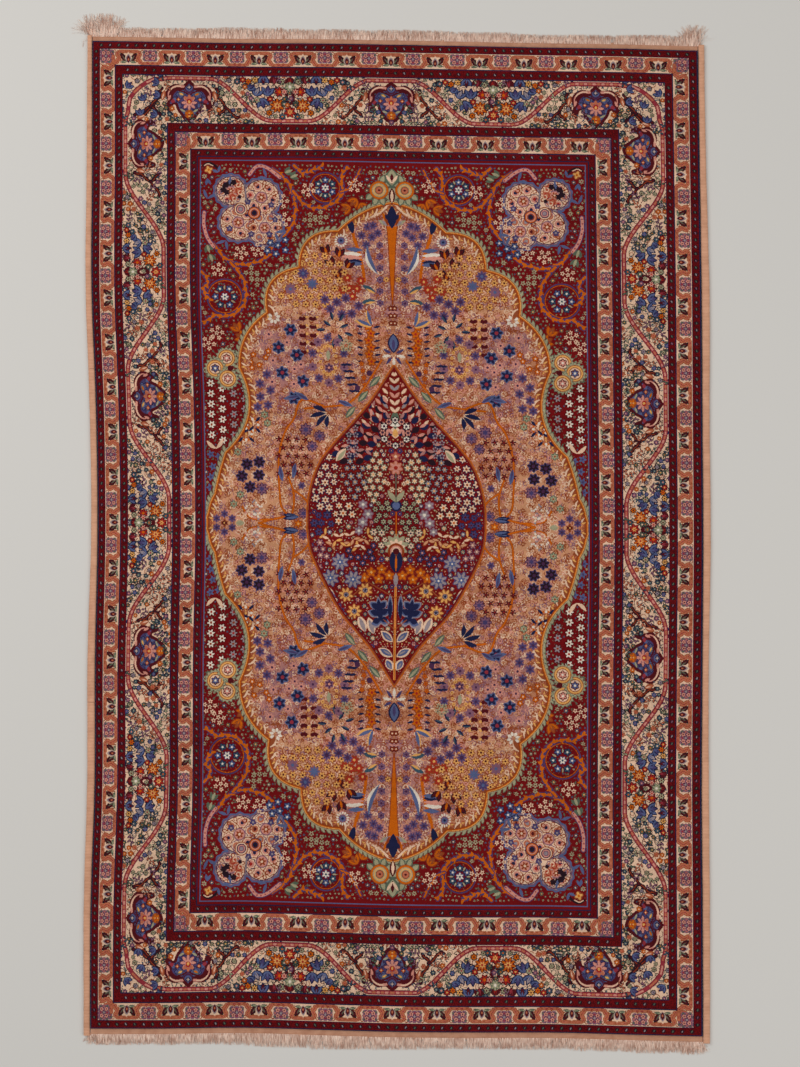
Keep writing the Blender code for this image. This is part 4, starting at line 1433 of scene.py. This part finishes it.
def wound_wool(name, light, dark, turn):
    """Yarn wound or laid side by side: soft ridges one yarn wide, a little uneven in tone, with
    painted shade in the grooves between them and painted highlight on their crowns.
    """
    made, tree, shader = new_material(
        name, Roughness=0.9, IOR=1.5, Specular_IOR_Level=0.12, Sheen_Weight=0.1, Sheen_Roughness=0.5
    )
    place = add(tree, "TexCoord")
    one_band = 0.314  # metres from one band of a wave texture to the next, at a scale of 1
    strands = add(tree, "TexWave", {"Vector": place.outputs["Object"], "Scale": one_band / turn,
                  "Distortion": 1.2, "Detail": 2.0, "Detail Scale": 1.0}, bands_direction="Y")
    patches = add(tree, "TexNoise", {"Vector": place.outputs["Object"], "Scale": 60.0, "Detail": 4.0})
    fuzz = add(tree, "TexNoise", {"Vector": place.outputs["Object"], "Scale": 1400.0, "Detail": 2.0})
    # The ridge wave sets the colour as well as the bump: painted shade in the grooves between turns,
    # painted highlight on their crowns. The patches and fuzz are the yarn's own uneven tone.
    blend = add(tree, "Math", {0: strands.outputs[1], 1: 0.35, 2: 0.0}, operation="MULTIPLY_ADD")
    blend = add(tree, "Math", {0: patches.outputs[0], 1: 0.5, 2: blend.outputs[0]},
                operation="MULTIPLY_ADD")
    blend = add(tree, "Math", {0: fuzz.outputs[0], 1: 0.25, 2: blend.outputs[0]},
                operation="MULTIPLY_ADD")
    tone = add(tree, "ValToRGB", {0: blend.outputs[0]})
    tone.color_ramp.elements[0].color, tone.color_ramp.elements[1].color = linear(dark), linear(light)
    tone.color_ramp.elements[0].position, tone.color_ramp.elements[1].position = 0.25, 0.8
    tree.links.new(tone.outputs[0], shader.inputs["Base Color"])
    height = add(tree, "Math", {0: fuzz.outputs[0], 1: 0.5, 2: strands.outputs[1]},
                 operation="MULTIPLY_ADD")
    relief = add(tree, "Bump", {"Strength": 0.5, "Distance": 0.3 * MM, "Height": height.outputs[0]})
    tree.links.new(relief.outputs[0], shader.inputs["Normal"])
    return made


def cotton_yarn():
    """Undyed cotton warp, frayed at its ends: pale, matt and slightly soiled in patches."""
    made, tree, shader = new_material(
        "Cotton warp, undyed and frayed", Roughness=0.85, IOR=1.5, Specular_IOR_Level=0.2,
        Sheen_Weight=0.15, Sheen_Roughness=0.4,
    )
    place = add(tree, "TexCoord")
    soil = add(tree, "TexNoise", {"Vector": place.outputs["Object"], "Scale": 35.0, "Detail": 4.0})
    along = add(tree, "VectorMath", {0: place.outputs["Object"], 1: (520, 60, 300)},
                operation="MULTIPLY")
    twist = add(tree, "TexNoise", {"Vector": along.outputs[0], "Scale": 1.0, "Detail": 3.0})
    soiled = add(tree, "Math", {0: soil.outputs[0], 1: 0.3}, operation="MULTIPLY")
    blend = add(tree, "Math", {0: twist.outputs[0], 1: 0.8, 2: soiled.outputs[0]},
                operation="MULTIPLY_ADD")
    # The streaks are random tone along the strands; the ramp runs from painted shade, as in the gaps
    # between strands, to a painted highlight on them.
    tone = add(tree, "ValToRGB", {0: blend.outputs[0]})
    tone.color_ramp.elements[0].color = linear("#c08f78")
    tone.color_ramp.elements[1].color = linear("#ffe8d8")
    tone.color_ramp.elements[0].position, tone.color_ramp.elements[1].position = 0.38, 0.66
    tree.links.new(tone.outputs[0], shader.inputs["Base Color"])
    relief = add(tree, "Bump", {"Strength": 0.3, "Distance": 0.1 * MM, "Height": twist.outputs[0]})
    tree.links.new(relief.outputs[0], shader.inputs["Normal"])
    return made


def end_strip(name, pile_line, web_line, shares, material):
    """The flat-woven strip past the pile, half of one end: ribs of weft lie along it."""
    warp_pitch, weft_ribs = 2.6 * MM, 5  # coarser than the real weave, so that it shows
    steps = int((shares[1] - shares[0]) * (pile_line[-1, 0] - pile_line[0, 0]) / warp_pitch)
    across = np.linspace(*shares, steps)
    inner, outer = along_line(pile_line, 0, across), along_line(web_line, 0, across)
    near, far = (inner, outer) if outer[0, 1] > inner[0, 1] else (outer, inner)
    ribs = np.linspace(0, 1, 3 * weft_ribs + 1)
    flat = near[None] + (far - near)[None] * ribs[:, None, None]
    warp = np.arange(steps)[None, :]
    rise = 0.32 * np.cos(ribs * weft_ribs * 2 * math.pi)[:, None] + 0.16 * np.cos(math.pi * warp)
    rise = rise + 0.2 * ripple(flat[..., 0], flat[..., 1], 5, (0.05, 0.012))
    height = WEB_TOP + (rise - 0.3) * MM
    top = np.concatenate([flat, height[..., None]], -1)
    bottom = np.concatenate([flat, np.zeros_like(height)[..., None]], -1)
    piece, _, _ = slab(name, top, bottom, material)
    return piece


def cord_lines(node):
    """Inner and outer line of an edge cord, and its crown's height, from its CAD solid."""
    points = node_points(node)
    station = (points[:, 1] / (6 * MM)).round().astype(int)
    rows = []
    for k in np.unique(station):
        ring = points[station == k]
        if np.ptp(ring[:, 0]) > 4 * MM:
            rows.append((ring[:, 1].mean(), ring[:, 0].min(), ring[:, 0].max(), ring[:, 2].max()))
    return np.array(rows)


def edge_cord(name, lines, low, high, material):
    """Yarn wound over the outer warps: each turn is a rounded ridge that leans a little."""
    start, length = lines[0, 0], lines[-1, 0] - lines[0, 0]
    y = np.arange(start + length * low, start + length * high, COIL / 3)
    left, right, crown = (np.interp(y, lines[:, 0], lines[:, k]) for k in (1, 2, 3))
    around = np.linspace(0, 2 * math.pi, 10, endpoint=False)[None, :]
    middle, half = ((left + right) / 2)[:, None], ((right - left) / 2)[:, None]
    lean = 0.5 * np.cos(around)
    ridge = 0.5 + 0.5 * np.cos(2 * math.pi * y[:, None] / COIL + lean)
    wander = ripple(np.zeros_like(y), y, 9, (0.09, 0.03, 0.011))[:, None]
    squash = np.sign(np.cos(around)) * np.abs(np.cos(around)) ** 0.8
    rise = np.sign(np.sin(around)) * np.abs(np.sin(around)) ** 0.7
    grow = 0.92 + 0.08 * ridge
    x = middle + half * squash * grow + 0.3 * MM * wander * np.abs(np.cos(around))
    z = crown[:, None] / 2 * np.maximum(0.0, 1 + rise * grow * (1 + 0.05 * wander))
    rings, sides = x.shape
    points = np.stack([x, np.broadcast_to(y[:, None], x.shape), z], -1).reshape(-1, 3)
    number = np.arange(rings * sides).reshape(rings, sides)
    beside = np.roll(number, -1, axis=1)
    quads = np.stack([number[:-1], number[1:], beside[1:], beside[:-1]], -1).reshape(-1, 4)
    faces = quads.tolist() + [number[0].tolist(), number[-1][::-1].tolist()]
    return new_piece(name, points.tolist(), faces, material)


def fringe_reach(node, toward):
    """How far the CAD fringe reaches out at each place across, as rows of (x, y)."""
    points = node_points(node)
    station = (points[:, 0] / (12 * MM)).round().astype(int)
    rows = []
    for k in np.unique(station):
        tuft = points[station == k]
        rows.append((tuft[:, 0].mean(), (tuft[:, 1] * toward).max() * toward))
    rows = np.array(rows)
    far = np.abs(rows[:, 1])
    rows[:, 1] = toward * np.max([far, np.append(far[1:], 0), np.append(0, far[:-1])], axis=0)
    return rows


def strand(points, radius, root, lean, length, bend, lift, sway):
    """Adds one frayed strand: a thin tapered tube that lies out from its root."""
    start, steps, sides = len(points), 4, 3
    for k in range(steps + 1):
        share = k / steps
        turn = lean + bend * share + sway * math.sin(5.5 * share)
        x = root[0] + length * share * math.sin(turn)
        y = root[1] + length * share * math.cos(turn) * root[2]
        thin = radius * (1 - 0.6 * share)
        z = max(lift * (1 - share) ** 0.7 + 0.25 * lift * math.sin(3.1 * share), 0) + thin
        for side in range(sides):
            angle = 2 * math.pi * side / sides
            points.append((x + thin * math.cos(angle), y, z + thin * math.sin(angle)))
    faces = []
    for k in range(steps):
        for side in range(sides):
            a, b = start + k * sides + side, start + k * sides + (side + 1) % sides
            faces.append((a, b, b + sides, a + sides))
    faces.append(tuple(range(start + sides - 1, start - 1, -1)))
    faces.append(tuple(range(start + steps * sides, start + (steps + 1) * sides)))
    return faces


def fringe(name, web_line, reach, shares, seed, material):
    """The loose warp ends past the web, in small uneven tufts, with a longer one at the corner."""
    rng = np.random.default_rng(seed)
    toward = np.sign(reach[:, 1].mean())
    width = web_line[-1, 0] - web_line[0, 0]
    points, faces = [], []
    for place in np.arange(shares[0], shares[1], TUFT_PITCH / width):
        share = place + rng.uniform(-0.3, 0.3) * TUFT_PITCH / width
        x, y = along_line(web_line, 0, np.array(share)).ravel()
        full, outward = abs(np.interp(x, reach[:, 0], reach[:, 1]) - y), 0.0
        if min(share, 1 - share) * width < CORNER_TUFT:
            full = np.abs(reach[np.abs(reach[:, 0] - x) < 30 * MM][:, 1]).max() - abs(y)
            outward = 0.4 if share > 0.5 else -0.4
        lean, tuft = rng.normal(0, 0.2) + outward, rng.uniform(0.84, 1.06)
        for _ in range(rng.integers(24, 29)):
            root = (x + rng.uniform(-4.2, 4.2) * MM, y - toward * 3.0 * MM, toward)
            length = full * min(tuft * rng.uniform(0.66, 1.16), 1.0)
            faces += strand(points, rng.uniform(0.5, 1.0) * MM, root, lean + rng.normal(0, 0.22),
                            length, rng.normal(0, 0.35), rng.uniform(0.6, 2.8) * MM,
                            rng.normal(0, 0.14))
    return new_piece(name, points, faces, material)


def floor_material():
    """A plain pale studio floor, matt."""
    made, _, shader = new_material("Pale floor, matt", Roughness=0.9, Specular_IOR_Level=0.1)
    shader.inputs["Base Color"].default_value = linear("#dddad5")
    return made


def set_stage():
    """A pale floor, soft light from all round and a camera straight above."""
    bpy.ops.mesh.primitive_plane_add(size=14, location=(0, 0, -0.5 * MM))
    floor = bpy.context.object
    floor.name = "floor"
    floor.data.materials.append(floor_material())
    world = bpy.data.worlds.new("Studio")
    bpy.context.scene.world = world
    world.use_nodes = True
    background = world.node_tree.nodes["Background"]
    background.inputs["Color"].default_value = linear("#fbfaf8")
    background.inputs["Strength"].default_value = 0.42
    for name, place, size, power in (
        ("soft_left", (-2.6, 1.6, 3.4), 3.0, 78), ("soft_right", (2.8, -1.2, 3.6), 3.2, 52),
    ):
        light = bpy.data.lights.new(name, "AREA")
        light.size, light.energy = size, power
        lamp = bpy.data.objects.new(name, light)
        lamp.location = place
        x, y, z = place  # each one faces the middle of the rug
        lamp.rotation_euler = (math.atan2(math.hypot(x, y), z), 0, math.atan2(x, -y))
        bpy.context.collection.objects.link(lamp)
    camera = bpy.data.cameras.new("camera")
    camera.sensor_width, camera.sensor_fit = 36.0, "AUTO"
    height, frame_length = 5.5, 2.24
    camera.lens = camera.sensor_width * height / frame_length
    viewer = bpy.data.objects.new("camera", camera)
    viewer.location = (0.006, 0.001, height)
    bpy.context.collection.objects.link(viewer)
    bpy.context.scene.camera = viewer
    bpy.context.scene.view_settings.view_transform = "Standard"


def make_cords(material):
    """The side cords, each held in as many lengths as the pile has parts."""
    cords = {}
    for side in SIDES:
        lines = cord_lines(f"edge_cord_{side}")
        for k, part in enumerate(PARTS):
            low, high = k / len(PARTS), (k + 1) / len(PARTS)
            cord = edge_cord(f"edge_cord_{side}_{part}", lines, low, high, material)
            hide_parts(f"edge_cord_{side}")
            cords[part, side] = [cord]
    return cords


def make_rug():
    """Every piece: the pile's six parts, the side cords, the end strips and the fringes."""
    wool = knotted_wool()
    chart = draw_chart()
    pile = Plan(*outline_at("rug", PILE_TOP))
    web = outline_at("rug", 0.0)
    overcast = wound_wool("Overcast wool yarn, undyed", "#ecb493", "#b47e61", COIL)
    flat_weave = wound_wool("Flat-woven cotton end", "#d9a688", "#a36a50", 2.0 * MM)
    cotton = cotton_yarn()
    trims = make_cords(overcast)
    near_end, far_end = (pile.lines[2], web[2], -1), (pile.lines[3], web[3], 1)
    for end, (pile_line, web_line, toward) in (("near", near_end), ("far", far_end)):
        reach = fringe_reach(f"fringe_{end}", toward)
        for k, side in enumerate(SIDES):
            shares = (k / 2, (k + 1) / 2)
            strip = end_strip(f"flat_weave_{end}_{side}", pile_line, web_line, shares, flat_weave)
            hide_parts("rug")
            seed = 50 + 2 * k + toward
            loose = fringe(f"fringe_{end}_{side}", web_line, reach, shares, seed, cotton)
            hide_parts(f"fringe_{end}")
            trims[end, side] += [strip, loose]
    across = np.linspace(0, COLUMNS // BLOCK, len(SIDES) + 1).round().astype(int)
    along = np.linspace(0, ROWS // BLOCK, len(PARTS) + 1).round().astype(int)
    for k, part in enumerate(PARTS):
        for j, side in enumerate(SIDES):
            rows, columns = along[k : k + 2], across[j : j + 2]
            piece, flat = pile_tile(f"pile_{part}_{side}", chart, pile, rows, columns, wool)
            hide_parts("rug")


set_stage()
make_rug()
